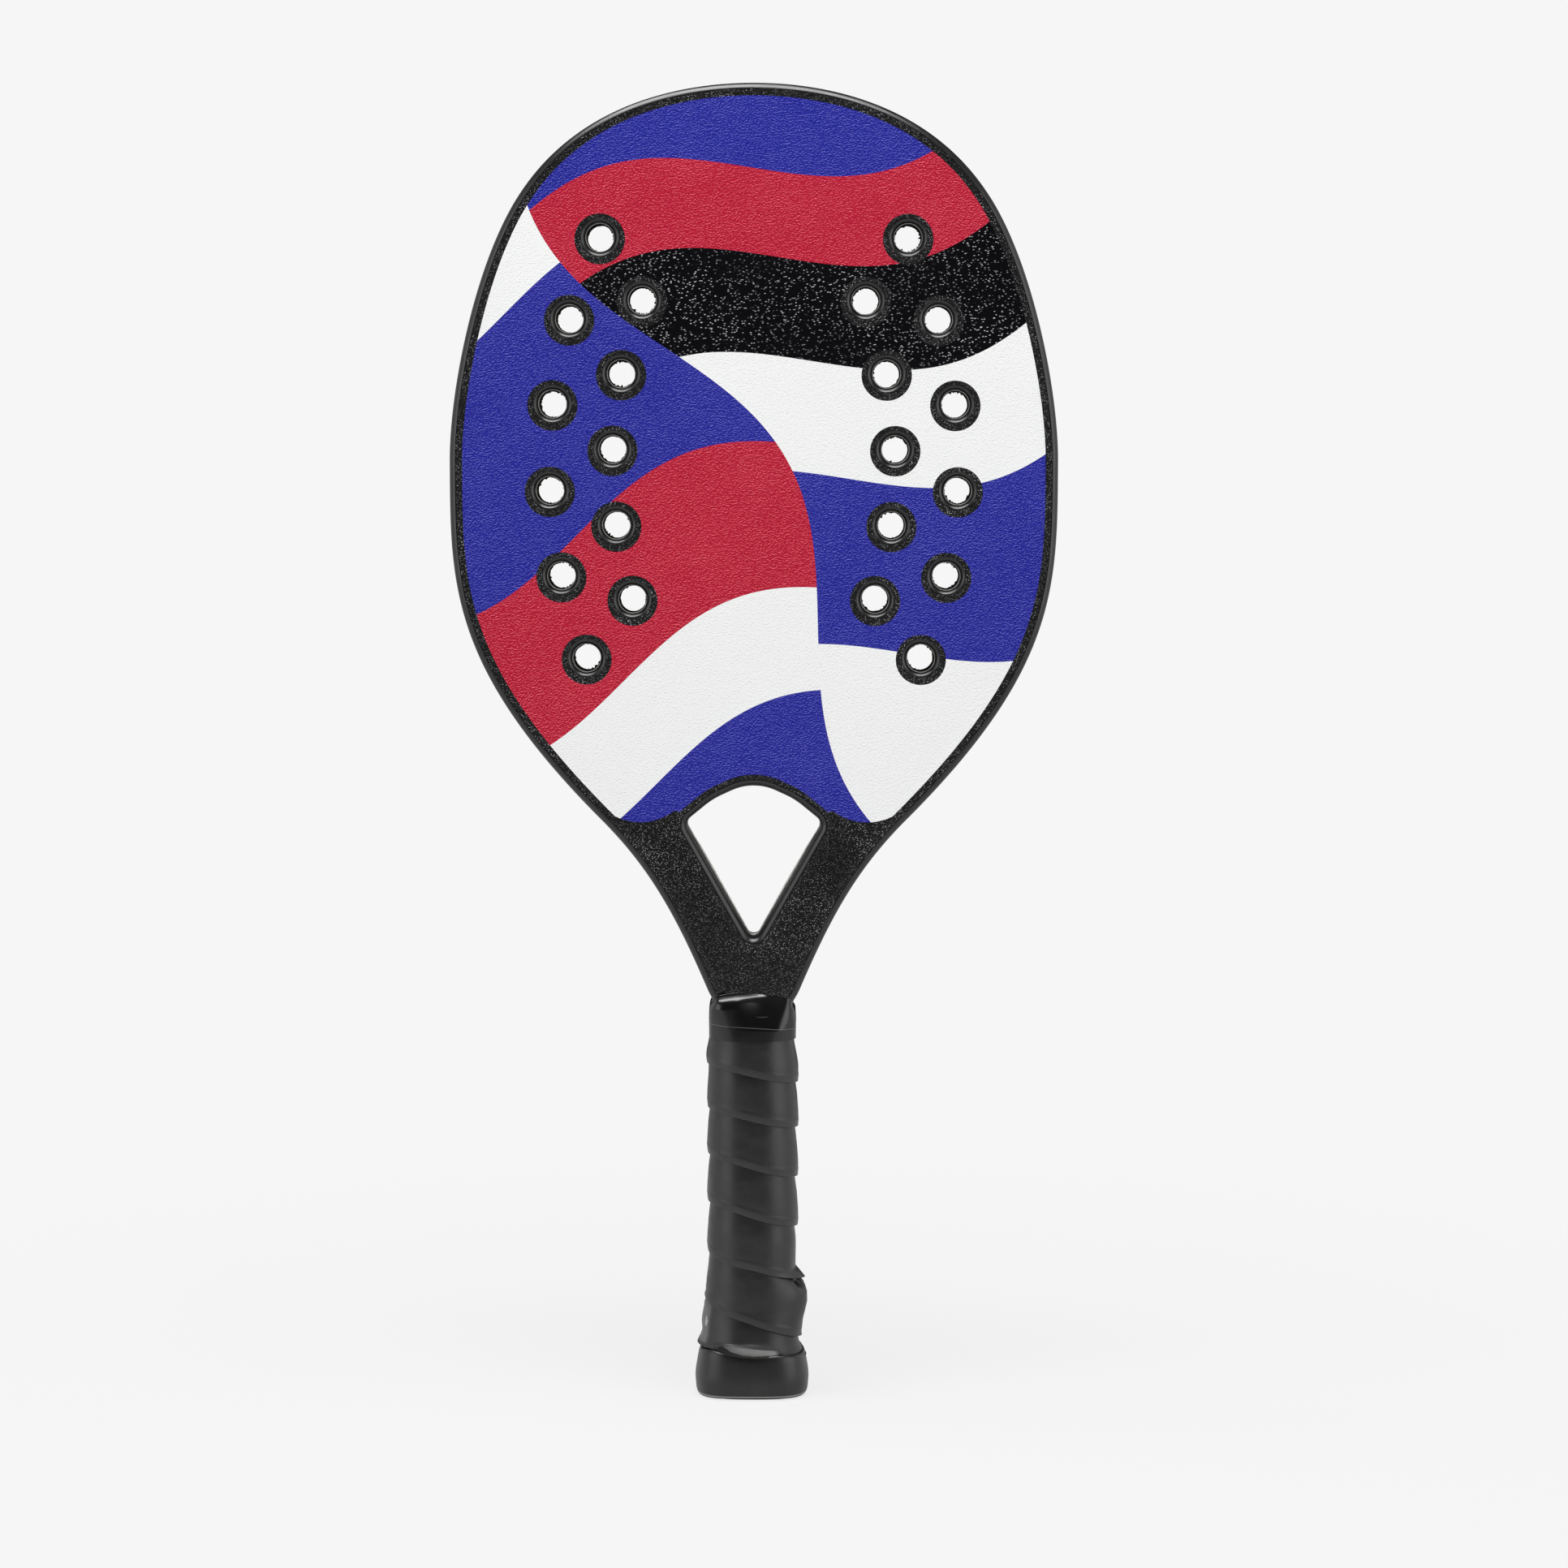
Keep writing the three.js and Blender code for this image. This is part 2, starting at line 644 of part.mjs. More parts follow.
// The finishing tape: from over the strip's last turn up onto the flat arms.
function makeFinishTape() {
  const stripOut = 2 * wrapGap + startTapeThickness + stripOuter(0, tapedLow);
  const [halfWidth, halfDepth] = handleHalves(tapedLow);
  const armHalf = outlineHalfAt(finishTapeTop + finishTapeSlant);
  const low = {
    level: tapedLow,
    halves: [halfWidth + stripOut, halfDepth + stripOut],
    facets: [frontFacetShare * (halfWidth + stripOut), sideFacetShare * (halfDepth + stripOut)],
  };
  const shoulder = { ...low, level: gripTop };
  const high = {
    level: finishTapeTop,
    halves: [armHalf, half],
    facets: [armHalf - edgeRadius / 2, half - edgeRadius / 2],
  };
  const ringAt = ({ level, halves, facets }, out) => {
    const radius = Math.min(handleCornerRadius, edgeRadius / 2);
    const slant = level === finishTapeTop ? finishTapeSlant / halves[0] : 0;
    return octagon(...halves, ...facets, radius, wrapGap + out, (point) => level - slant * point.x);
  };
  const ringsAt = (out) => [low, shoulder, high].map((station) => ringAt(station, out));
  return band(ringsAt(finishTapeThickness), ringsAt(0));
}

function capRing(level, widthShare, out) {
  const halfWidth = capHalfWidth * widthShare;
  const halfDepth = capHalfDepth * widthShare;
  const facets = [halfWidth * capFacetShare, halfDepth * capFacetShare];
  return octagon(halfWidth, halfDepth, ...facets, capCornerRadius, out, () => level);
}

function makeCap() {
  const low = plateThickness + clearance;
  const rings = capShares.map(([up, wide]) => capRing(low + up * (capTop - low), wide, 0));
  const floor = tailEnd - clearance;
  const levels = [floor, ...flareShares.map(([up]) => up * flareHeight), capTop + overrun];
  const within = levels.filter((level) => level >= floor && level <= capTop + overrun);
  const sorted = within.sort((a, b) => a - b);
  const room = solidOf(skin(sorted.map((level) => handleRing(level, clearance)), false));
  const plugRoom = new THREE.BoxGeometry(
    2 * (plugHalfWidth + clearance),
    2 * (plugHalfDepth + clearance),
    thickness,
  );
  return solidOf(skin(rings, false)).subtract(room).subtract(solidOf(plugRoom));
}

function makeEndPlate() {
  const share = capShares[0][1];
  const rings = [0, plateThickness].map((level) => capRing(level, share, -plateInset));
  const plugHeight = plateThickness + clearance + capFloor / 2;
  const plug = new THREE.BoxGeometry(2 * plugHalfWidth, 2 * plugHalfDepth, plugHeight);
  plug.translate(0, 0, plugHeight / 2);
  return solidOf(skin(rings, false)).add(solidOf(plug));
}

const racket = new THREE.Group();

function place(name, shape, color, roughness) {
  const geometry = shape.isBufferGeometry ? shape : geometryOf(shape);
  const material = new THREE.MeshStandardMaterial({ color, roughness, metalness: 0 });
  const mesh = new THREE.Mesh(geometry, material);
  mesh.name = name;
  racket.add(mesh);
}

place("frame_tube", makeFrame(), 0x2a2a2a, 0.42);
place("throat_bridge", makeBridge(), 0x2a2a2a, 0.42);
place("eva_core", makeCore(), 0x1c1c1e, 0.9);
place("front_face_sheet", makeSheet(true), 0x2f2fa3, 0.55);
place("rear_face_sheet", makeSheet(false), 0xb5233d, 0.55);
place("handle_pallet_front", makePallet(true), 0xd8cfae, 0.85);
place("handle_pallet_rear", makePallet(false), 0xd8cfae, 0.85);
place("grip_start_tape", makeStartTape(), 0xb8b8b2, 0.8);
place("base_grip", makeGrip(), 0x3c3c3c, 0.6);
place("finishing_tape", makeFinishTape(), 0x0c0c0c, 0.2);
place("butt_cap", makeCap(), 0x3a3a3a, 0.55);
place("butt_end_plate", makeEndPlate(), 0x303030, 0.55);

export default racket;
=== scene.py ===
import math

import bmesh
import bpy
import numpy as np
from mathutils import Matrix, Vector
from mathutils.geometry import tessellate_polygon


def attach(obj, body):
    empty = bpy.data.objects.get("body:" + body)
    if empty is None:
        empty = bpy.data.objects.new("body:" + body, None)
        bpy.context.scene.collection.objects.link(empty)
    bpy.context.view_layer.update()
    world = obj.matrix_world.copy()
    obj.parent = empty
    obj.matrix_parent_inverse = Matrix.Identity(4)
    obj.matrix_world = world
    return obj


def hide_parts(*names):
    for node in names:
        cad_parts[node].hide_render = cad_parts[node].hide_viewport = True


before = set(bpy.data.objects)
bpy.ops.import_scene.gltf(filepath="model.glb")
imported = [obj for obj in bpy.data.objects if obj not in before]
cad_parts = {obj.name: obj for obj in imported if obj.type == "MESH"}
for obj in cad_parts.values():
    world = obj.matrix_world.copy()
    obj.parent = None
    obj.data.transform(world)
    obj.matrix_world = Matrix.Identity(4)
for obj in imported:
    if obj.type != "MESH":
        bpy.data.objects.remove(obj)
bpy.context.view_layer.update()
mm = 0.001  # the shapes below are worked out in millimetres


# A node with its settings, and its inputs fed by values or by other nodes' sockets.
def addNode(tree, kind, feeds=None, out=0, **settings):
    node = tree.nodes.new(kind)
    for name, value in settings.items():
        setattr(node, name, value)
    for name, value in (feeds or {}).items():
        if isinstance(value, bpy.types.NodeSocket):
            tree.links.new(value, node.inputs[name])
        else:
            node.inputs[name].default_value = value
    return node if out is None else node.outputs[out]


# Rows of sums: each is a name, an operation, and the names or numbers it works on.
def workOut(tree, values, rows):
    for name, operation, *terms in rows:
        feeds = {i: values[t] if isinstance(t, str) else t for i, t in enumerate(terms)}
        values[name] = addNode(tree, "ShaderNodeMath", feeds, operation=operation)


# The same for one sum of places or colours.
def vectorSum(tree, operation, one, other=(0, 0, 0), out=0):
    return addNode(tree, "ShaderNodeVectorMath", {0: one, 1: other}, out=out, operation=operation)


def scaled(tree, vector, scale):
    return addNode(tree, "ShaderNodeVectorMath", {0: vector, "Scale": scale}, operation="SCALE")


# A value between start and end, brought to between low and high.
def remap(tree, value, start, end, low=0.0, high=1.0, smooth=False):
    feeds = {0: value, 1: start, 2: end, 3: low, 4: high}
    easing = "SMOOTHSTEP" if smooth else "LINEAR"
    return addNode(tree, "ShaderNodeMapRange", feeds, interpolation_type=easing)


def linear(hexColor):
    channels = [int(hexColor[i : i + 2], 16) / 255 for i in (1, 3, 5)]
    curve = [c / 12.92 if c <= 0.04045 else ((c + 0.055) / 1.055) ** 2.4 for c in channels]
    return (*curve, 1.0)


# Studio: camera where the photograph was taken from, pale floor, soft light from both sides
studio = {
    "cameraPlace": (0.01136, -1.45, 0.36045),
    "cameraDown": 4.918,  # degrees
    "cameraRoll": -0.07,
    "lens": 87.38,
    "backdrop": "#f6f6f6",
    "worldSides": 0.85,
    "worldFront": 0.02,  # also overhead and behind
    "floorShadow": 0.16,  # share of the floor's brightness that a shadow can take away
    "shadowReach": 0.55,  # metres round the butt
    "floorReach": 0.75,
    "aimHeight": 0.3,  # where the softboxes point
}
softboxes = {
    "overhead": {"place": (-0.1, -0.24, 1.6), "size": (1.3, 0.75), "power": 37},
    "left": {"place": (-1.6, -1.1, 0.7), "size": (1.5, 1.6), "power": 10},
    "right": {"place": (1.6, -0.9, 0.6), "size": (1.5, 1.7), "power": 12},
}

scene = bpy.context.scene
scene.view_settings.view_transform = "Standard"
cameraData = bpy.data.cameras.new("camera")
cameraData.lens = studio["lens"]
cameraData.sensor_width = 36
camera = bpy.data.objects.new("camera", cameraData)
scene.collection.objects.link(camera)
camera.location = studio["cameraPlace"]
camera.rotation_euler = (math.radians(90 - studio["cameraDown"]), math.radians(studio["cameraRoll"]), 0)
scene.camera = camera

for name, box in softboxes.items():
    lamp = bpy.data.lights.new(name, "AREA")
    lamp.shape = "RECTANGLE"
    lamp.size, lamp.size_y = box["size"]
    lamp.energy = box["power"]
    light = bpy.data.objects.new(name, lamp)
    scene.collection.objects.link(light)
    light.location = box["place"]
    aim = Vector((0, 0, studio["aimHeight"])) - light.location
    light.rotation_euler = aim.to_track_quat("-Z", "Y").to_euler()

world = bpy.data.worlds.new("studioWalls")
scene.world = world
world.use_nodes = True
tree = world.node_tree
tree.nodes.clear()
direction = addNode(tree, "ShaderNodeTexCoord", out=0)
axes = addNode(tree, "ShaderNodeSeparateXYZ", {0: direction}, out=None)
level = {"x": axes.outputs[0], "z": axes.outputs[2]}
workOut(tree, level, [("sideways", "ABSOLUTE", "x")])
brightness = (studio["worldFront"], studio["worldSides"])
level["side"] = remap(tree, level["sideways"], 0.25, 0.8, *brightness, smooth=True)
level["below"] = remap(tree, level["z"], 0.3, 0.7, 1.0, 0.25, smooth=True)
workOut(tree, level, [("wall", "MULTIPLY", "side", "below")])
seen = addNode(tree, "ShaderNodeLightPath", out=None)
walls = addNode(tree, "ShaderNodeBackground", {0: linear("#fbfbfb"), 1: level["wall"]})
behind = addNode(tree, "ShaderNodeBackground", {0: linear(studio["backdrop"]), 1: 1.0})
mixed = addNode(tree, "ShaderNodeMixShader", {0: seen.outputs["Is Camera Ray"], 1: walls, 2: behind})
addNode(tree, "ShaderNodeOutputWorld", {0: mixed}, out=None)
print("studio ready")


# A Principled material: its name, what goes on the shader's own sockets, and its node tree.
def startMaterial(name, **surface):
    material = bpy.data.materials.new(name)
    material.use_nodes = True
    tree = material.node_tree
    tree.nodes.clear()
    feeds = {socket.replace("_", " "): value for socket, value in surface.items()}
    shader = addNode(tree, "ShaderNodeBsdfPrincipled", feeds, out=None)
    addNode(tree, "ShaderNodeOutputMaterial", {0: shader.outputs[0]}, out=None)
    return material, tree, shader


# Object coordinates stretched so that a pattern of scale 1 repeats about once a millimetre.
def inMillimetres(tree, stretch=(1, 1, 1), turn=(0, 0, 0)):
    place = addNode(tree, "ShaderNodeTexCoord", out=3)
    scale = tuple(s / mm for s in stretch)
    return addNode(tree, "ShaderNodeMapping", {"Vector": place, "Scale": scale, "Rotation": turn})


def addNoise(tree, place, scale, detail, **more):
    return addNode(tree, "ShaderNodeTexNoise", {"Vector": place, "Scale": scale, "Detail": detail, **more})


def addCells(tree, place, apart, kind="F1"):
    return addNode(tree, "ShaderNodeTexVoronoi", {"Vector": place, "Scale": 1 / apart}, feature=kind)


# A colour between two others, each a socket or a hex string.
def blend(tree, share, one, other):
    one, other = [linear(color) if isinstance(color, str) else color for color in (one, other)]
    return addNode(tree, "ShaderNodeMix", {0: share, 6: one, 7: other}, out=2, data_type="RGBA")


# A strip's own record of how worn it is at each point.
def readMark(tree, name):
    return addNode(tree, "ShaderNodeAttribute", {}, out=2, attribute_name=name)


# The colour, the relief as (strength, depth in millimetres, height) and the roughness.
def finishSurface(tree, shader, color, relief=None, roughness=None):
    tree.links.new(color, shader.inputs["Base Color"])
    if relief:
        strength, depth, height = relief
        feeds = {"Strength": strength, "Distance": depth * mm, "Height": height}
        tree.links.new(addNode(tree, "ShaderNodeBump", feeds), shader.inputs["Normal"])
    if roughness:
        tree.links.new(roughness, shader.inputs["Roughness"])


# Satin polyurethane lacquer over moulded carbon, sprayed: near black with a broad grey sheen,
# a very fine orange peel and faint scuffs.
lacquerLook = {
    "dark": "#101011", "scuffed": "#1f1f20", "roughness": (0.24, 0.36), "peel": 1.4, "peelDepth": 0.05,
    "scuff": 2.0, "scuffStretch": (0.25, 0.6, 1.6), "scuffTurn": (0, 0.5, 0),
}


def makeLacquer():
    look = lacquerLook
    material, tree, shader = startMaterial("satinLacquer", Specular_IOR_Level=0.5)
    place = inMillimetres(tree)
    scuffPlace = inMillimetres(tree, look["scuffStretch"], look["scuffTurn"])
    scuff = addNoise(tree, scuffPlace, 1 / look["scuff"], 6.0)
    color = blend(tree, remap(tree, scuff, 0.6, 0.78), look["dark"], look["scuffed"])
    rough = remap(tree, addNoise(tree, place, 0.09, 5.0), 0.3, 0.7, *look["roughness"])
    peel = addNoise(tree, place, 1 / look["peel"], 2.0)
    finishSurface(tree, shader, color, (0.12, look["peelDepth"], peel), rough)
    return material


# The face film's leather grain: low pebbles under 1 mm across, longer across than up. The
# light is overhead: the glints on their upper edges are painted highlights in a paler tint, and
# their lower edges get painted shade, a little darker. On black only the tips show, as scattered painted
# highlight specks.
# The glint, speck and dip values set how strongly and how pale the highlights are painted into the colour,
# and how dark the painted shade is.
grainLook = {
    "pebble": 0.66, "stretch": (0.85, 1, 1.15), "slant": 0.16, "height": 0.05, "edge": 0.2, "patch": 20.0,
    "paintedGlints": 0.75, "paintedSpecks": 0.8, "speckApart": 0.8, "speckLong": 0.6, "speckSize": (0.27, 0.14),
    "paintedSpeckColor": "#e9e9ef", "paintedDipShade": 0.5, "bareFiner": 0.7, "barePaintedGlints": 0.25, "bareFewer": 0.1,
}


def addGrain(tree, color, bare):
    look, values = grainLook, {"bare": bare}
    workOut(tree, values, [("finer", "MULTIPLY_ADD", "bare", look["bareFiner"], 1.0)])
    place = inMillimetres(tree, look["stretch"], (0, look["slant"], 0))
    lower = vectorSum(tree, "ADD", place, (0, 0, -look["edge"]))
    for name, where in (("height", place), ("under", lower)):
        values[name] = addNoise(tree, where, 1 / look["pebble"], 1.0, Roughness=0.6)
    values["patches"] = addNoise(tree, place, 1 / look["patch"], 3.0)
    flat = vectorSum(tree, "MULTIPLY", place, (look["speckLong"], 1, 1))
    tips = addCells(tree, scaled(tree, flat, values["finer"]), look["speckApart"])
    values["paleness"] = addNode(tree, "ShaderNodeRGBToBW", {0: color})
    values["tip"] = remap(tree, tips, *look["speckSize"])
    workOut(tree, values, [
        ("slope", "SUBTRACT", "under", "height"),
        ("more", "MULTIPLY_ADD", "patches", 0.06, "slope"),
        ("black", "LESS_THAN", "paleness", 0.02),
        ("coloured", "SUBTRACT", 1.0, "black"),
        ("fainter", "MULTIPLY_ADD", "paleness", -0.65, 1.0),
    ])
    # A highlight is painted where a pebble's upper edge faces the overhead light. Painted shade goes where
    # its lower edge faces away.
    values["glint"] = remap(tree, values["more"], 0.085, 0.15)
    values["shadedUnderside"] = remap(tree, values["slope"], -0.05, -0.16)
    values["uneven"] = remap(tree, values["patches"], 0.35, 0.65, 0.3, 1.0)
    workOut(tree, values, [
        ("shining", "MULTIPLY_ADD", "bare", look["barePaintedGlints"], "coloured"),
        ("glinting", "MULTIPLY", "glint", "shining"),
        ("paintedGlints", "MULTIPLY", "glinting", look["paintedGlints"]),
        ("tipped", "MULTIPLY", "tip", "black"),
        ("tipLevel", "MULTIPLY_ADD", "bare", -look["bareFewer"] * look["paintedSpecks"], look["paintedSpecks"]),
        ("tipLit", "MULTIPLY", "tipped", "tipLevel"),
        ("paintedSpecks", "MULTIPLY", "tipLit", "uneven"),
        ("dipShadeShare", "MULTIPLY", "shadedUnderside", "fainter"),
        ("paintedDipShade", "MULTIPLY", "dipShadeShare", look["paintedDipShade"]),
    ])
    return values


# Puts the grain over a colour: painted highlights as paler glints and bright specks, painted shade in the
# dips, and the bump itself.
def finishGrain(tree, shader, color, bare):
    grain = addGrain(tree, color, bare)
    feeds = {0: color, 1: (2.0, 2.0, 2.0), 2: (0.145, 0.145, 0.145)}
    paler = addNode(tree, "ShaderNodeVectorMath", feeds, operation="MULTIPLY_ADD")
    glintTint = vectorSum(tree, "MINIMUM", paler, (0.93, 0.93, 0.93))
    # Paler glints and bright specks are painted highlights, and the darkening towards black is painted shade.
    shown = blend(tree, grain["paintedGlints"], color, glintTint)
    shown = blend(tree, grain["paintedSpecks"], shown, grainLook["paintedSpeckColor"])
    shown = blend(tree, grain["paintedDipShade"], shown, "#000000")
    finishSurface(tree, shader, shown, (0.5, grainLook["height"], grain["height"]))


# Screen print on a textured polyester film: saturated, slightly soft gloss, pebbled all over.
printLook = {
    "blue": "#23268c", "red": "#ac1a33", "white": "#ebeceb", "black": "#08080b", "unprinted": "#111111",
    "waveLean": -18, "waveHeight": 17, "waveLength": 210, "waveStart": 2.0, "waveFrom": 190, "waveTo": 480,
    "splitLean": 61, "splitHeight": 20, "splitLength": 240, "splitStart": 0.2, "splitAt": 165,
    "lobeAcross": 43.1, "lobeHeight": 243.1, "lobeRadius": 21.2, "lobesBelow": 228.9, "lobesSlant": 0.2,
}
# The colours either side of the split, from the lowest wave up, each with where it starts as
# a share of the way
leftInks = [(0.0, "blue"), (0.16, "white"), (0.3, "red"), (0.5, "blue"), (0.8, "white"), (0.93, "black")]
rightInks = [(0.0, "white"), (0.22, "blue"), (0.46, "white"), (0.62, "black"), (0.76, "red"), (0.88, "blue")]


def addInks(tree, share, inks):
    ramp = addNode(tree, "ShaderNodeValToRGB", {0: share}, out=None)
    ramp.color_ramp.interpolation = "CONSTANT"
    while len(ramp.color_ramp.elements) < len(inks):
        ramp.color_ramp.elements.new(1.0)
    for element, (start, ink) in zip(ramp.color_ramp.elements, inks):
        element.position = start
        element.color = linear(printLook[ink])
    return ramp.outputs[0]


def makePrint():
    look = printLook
    material, tree, shader = startMaterial("screenPrintedFilm", Roughness=0.28, Specular_IOR_Level=0.26)
    place = addNode(tree, "ShaderNodeTexCoord", out=3)
    axes = addNode(tree, "ShaderNodeSeparateXYZ", {0: place}, out=None)
    values = {"xMetres": axes.outputs[0], "zMetres": axes.outputs[2]}
    rows = [("x", "DIVIDE", "xMetres", mm), ("z", "DIVIDE", "zMetres", mm)]
    for name in ("wave", "split"):
        lean = math.radians(look[name + "Lean"])
        ripple = 2 * math.pi / look[name + "Length"]
        rows += [
            (name + "Up", "MULTIPLY", "z", math.cos(lean)),
            (name + "Rise", "MULTIPLY_ADD", "x", math.sin(lean), name + "Up"),
            (name + "Back", "MULTIPLY_ADD", "z", -math.sin(lean) * ripple, look[name + "Start"]),
            (name + "Along", "MULTIPLY_ADD", "x", math.cos(lean) * ripple, name + "Back"),
            (name + "Swing", "SINE", name + "Along"),
            (name, "MULTIPLY_ADD", name + "Swing", look[name + "Height"], name + "Rise"),
        ]
    rows += [
        ("rightSide", "GREATER_THAN", "split", look["splitAt"]),
        ("aside", "ABSOLUTE", "x"),
        ("acrossLobe", "SUBTRACT", "aside", look["lobeAcross"]),
        ("belowLobe", "SUBTRACT", look["lobeHeight"], "z"),
        ("acrossSquared", "MULTIPLY", "acrossLobe", "acrossLobe"),
        ("lobeSquared", "MULTIPLY_ADD", "belowLobe", "belowLobe", "acrossSquared"),
        ("outsideLobe", "GREATER_THAN", "lobeSquared", look["lobeRadius"] ** 2),
        ("lowered", "MULTIPLY_ADD", "acrossLobe", -look["lobesSlant"], "z"),
        ("below", "LESS_THAN", "lowered", look["lobesBelow"]),
        ("onArm", "MULTIPLY", "outsideLobe", "below"),
    ]
    workOut(tree, values, rows)
    share = remap(tree, values["wave"], look["waveFrom"], look["waveTo"])
    color = blend(tree, values["rightSide"], addInks(tree, share, leftInks), addInks(tree, share, rightInks))
    color = blend(tree, values["onArm"], color, look["unprinted"])
    finishGrain(tree, shader, color, values["onArm"])
    return material


# The same film unprinted, black through and through, with finer painted highlight specks.
def makeBareFilm():
    material, tree, shader = startMaterial("blackTexturedFilm", Roughness=0.34, Specular_IOR_Level=0.35)
    color = blend(tree, addNoise(tree, inMillimetres(tree), 0.05, 4.0), "#0c0c0d", "#141414")
    finishGrain(tree, shader, color, 1.0)
    return material


# Cut fibre and resin left round a moulded hole: matt, dark and frayed.
def makeFray():
    material, tree, shader = startMaterial("cutFibre", Roughness=0.85, Specular_IOR_Level=0.3)
    fibres = addNoise(tree, inMillimetres(tree), 2.5, 5.0)
    finishSurface(tree, shader, blend(tree, fibres, "#0c0c0c", "#4a4a47"), (0.8, 0.2, fibres))
    return material


# Closed-cell foam, cut from a block: matt with small open cells on the cut.
def makeFoam(name, hexDark, hexPale, cell):
    material, tree, shader = startMaterial(name, Roughness=0.92, Specular_IOR_Level=0.25)
    place = inMillimetres(tree)
    color = blend(tree, addNoise(tree, place, 0.12, 4.0), hexDark, hexPale)
    finishSurface(tree, shader, color, (0.6, 0.25, addCells(tree, place, cell)))
    return material


# Polyurethane synthetic leather, coated and calendered: dark grey with a dull sheen, a skin
# of very fine pores, and rubbed paler along edges and where a hand works it.
wrapLook = {
    "dark": "#171717", "rubbed": "#2c2b2a", "flap": "#545254", "scuff": "#a5a4a2", "roughness": (0.36, 0.46),
    "pore": 0.55, "relief": 0.08, "crease": 7.0, "creaseStretch": (0.5, 0.5, 1.2), "creaseDepth": 1.6,
    "patch": 0.35,
}


def makeWrapSkin():
    look = wrapLook
    material, tree, shader = startMaterial("syntheticLeather", Specular_IOR_Level=0.5)
    creasePlace = inMillimetres(tree, look["creaseStretch"])
    values = {
        "pores": addCells(tree, inMillimetres(tree), look["pore"], "SMOOTH_F1"),
        "creases": addNoise(tree, creasePlace, 1 / look["crease"], 6.0, Roughness=0.6),
        "scratches": addNoise(tree, inMillimetres(tree, (1, 1, 0.6), (0.3, 0.2, 0)), 0.8, 5.0),
        "rub": readMark(tree, "rub"),
        "rubbedOff": readMark(tree, "scuffed"),
    }
    values["patch"] = remap(tree, values["creases"], 0.45, 0.75, 0.0, look["patch"])
    workOut(tree, values, [
        ("pale", "MAXIMUM", "rub", "patch"),
        ("height", "MULTIPLY_ADD", "creases", look["creaseDepth"], "pores"),
        ("scuff", "MULTIPLY", "rubbedOff", "scratches"),
    ])
    color = blend(tree, values["pale"], look["dark"], look["rubbed"])
    flap = blend(tree, remap(tree, values["scuff"], 0.22, 0.4), look["flap"], look["scuff"])
    color = blend(tree, readMark(tree, "worn"), color, flap)
    rough = remap(tree, values["creases"], 0.3, 0.7, *look["roughness"])
    finishSurface(tree, shader, color, (0.25, look["relief"], values["height"]), rough)
    return material


# PVC finishing tape, calendered and stretched: wet-looking gloss with long shallow ripples,
# milky along its cut edge where the last lap ends.
filmLook = {
    "dark": "#0d0d0d", "cutEdge": "#4c4c4b", "roughness": (0.16, 0.22), "rippleStretch": (0.2, 0.2, 0.5),
    "lapLow": 143.6, "lapSlant": -0.06, "edge": (0.2, 0.08),
}


def makeFilm():
    look = filmLook
    material, tree, shader = startMaterial("glossyTape", Specular_IOR_Level=0.5)
    axes = addNode(tree, "ShaderNodeSeparateXYZ", {0: inMillimetres(tree)}, out=None)
    values = {"x": axes.outputs[0], "z": axes.outputs[2]}
    workOut(tree, values, [
        ("level", "MULTIPLY_ADD", "x", -look["lapSlant"], "z"),
        ("from", "SUBTRACT", "level", look["lapLow"]),
        ("away", "ABSOLUTE", "from"),
    ])
    color = blend(tree, remap(tree, values["away"], *look["edge"]), look["dark"], look["cutEdge"])
    ripple = addNoise(tree, inMillimetres(tree, look["rippleStretch"]), 0.35, 2.0)
    rough = remap(tree, ripple, 0.3, 0.7, *look["roughness"])
    finishSurface(tree, shader, color, (0.12, 0.1, ripple), rough)
    return material


# Resin flash along the mould's parting line and round the holes' lips, trimmed and left bare: pale grey and
# dull, partly the resin's own colour and partly a painted highlight for the light these thin ridges catch.
def makeFlash():
    material, tree, shader = startMaterial("bareResin", Roughness=0.4, Specular_IOR_Level=0.5)
    # These pale greys are partly a painted highlight.
    color = blend(tree, addNoise(tree, inMillimetres(tree), 0.5, 4.0), "#8a8a85", "#dddbd3")
    finishSurface(tree, shader, color)
    return material


# Thermoplastic rubber, injection moulded: matt spark-eroded skin, dusty in patches, with a pale line
# painted at one height round its foot as a painted reflection in its rounded bottom edge.
def makeRubber(name, hexDark, hexDusty, roughness, paintedReflectionLevel):
    material, tree, shader = startMaterial(name, Specular_IOR_Level=0.5, Roughness=roughness)
    place = inMillimetres(tree)
    values = {"height": addNode(tree, "ShaderNodeSeparateXYZ", {0: place}, out=2)}
    workOut(tree, values, [("from", "SUBTRACT", "height", paintedReflectionLevel), ("away", "ABSOLUTE", "from")])
    dusty = remap(tree, addNoise(tree, place, 0.16, 6.0), 0.45, 0.75, 0.0, 0.7)
    color = blend(tree, dusty, hexDark, hexDusty)
    # A pale line at that height: a painted reflection of the bright floor in the cap's rounded bottom edge.
    color = blend(tree, remap(tree, values["away"], 0.4, 0.15), color, "#80807d")
    finishSurface(tree, shader, color, (0.3, 0.06, addNoise(tree, place, 2.2, 4.0, Roughness=0.7)))
    return material


# Cotton-backed start tape: off-white, with fine cross ribs.
def makeTapeCloth():
    material, tree, shader = startMaterial("ribbedTape", Roughness=0.8, Specular_IOR_Level=0.3)
    feeds = {"Vector": inMillimetres(tree), "Scale": 0.38, "Distortion": 2.5, "Detail": 3.0}
    ribs = addNode(tree, "ShaderNodeTexWave", feeds, out=1, bands_direction="X")
    color = blend(tree, addNoise(tree, inMillimetres(tree), 0.8, 4.0), "#b2b2b4", "#cfcfcb")
    finishSurface(tree, shader, blend(tree, ribs, "#b6b6b4", color), (0.25, 0.1, ribs))
    return material


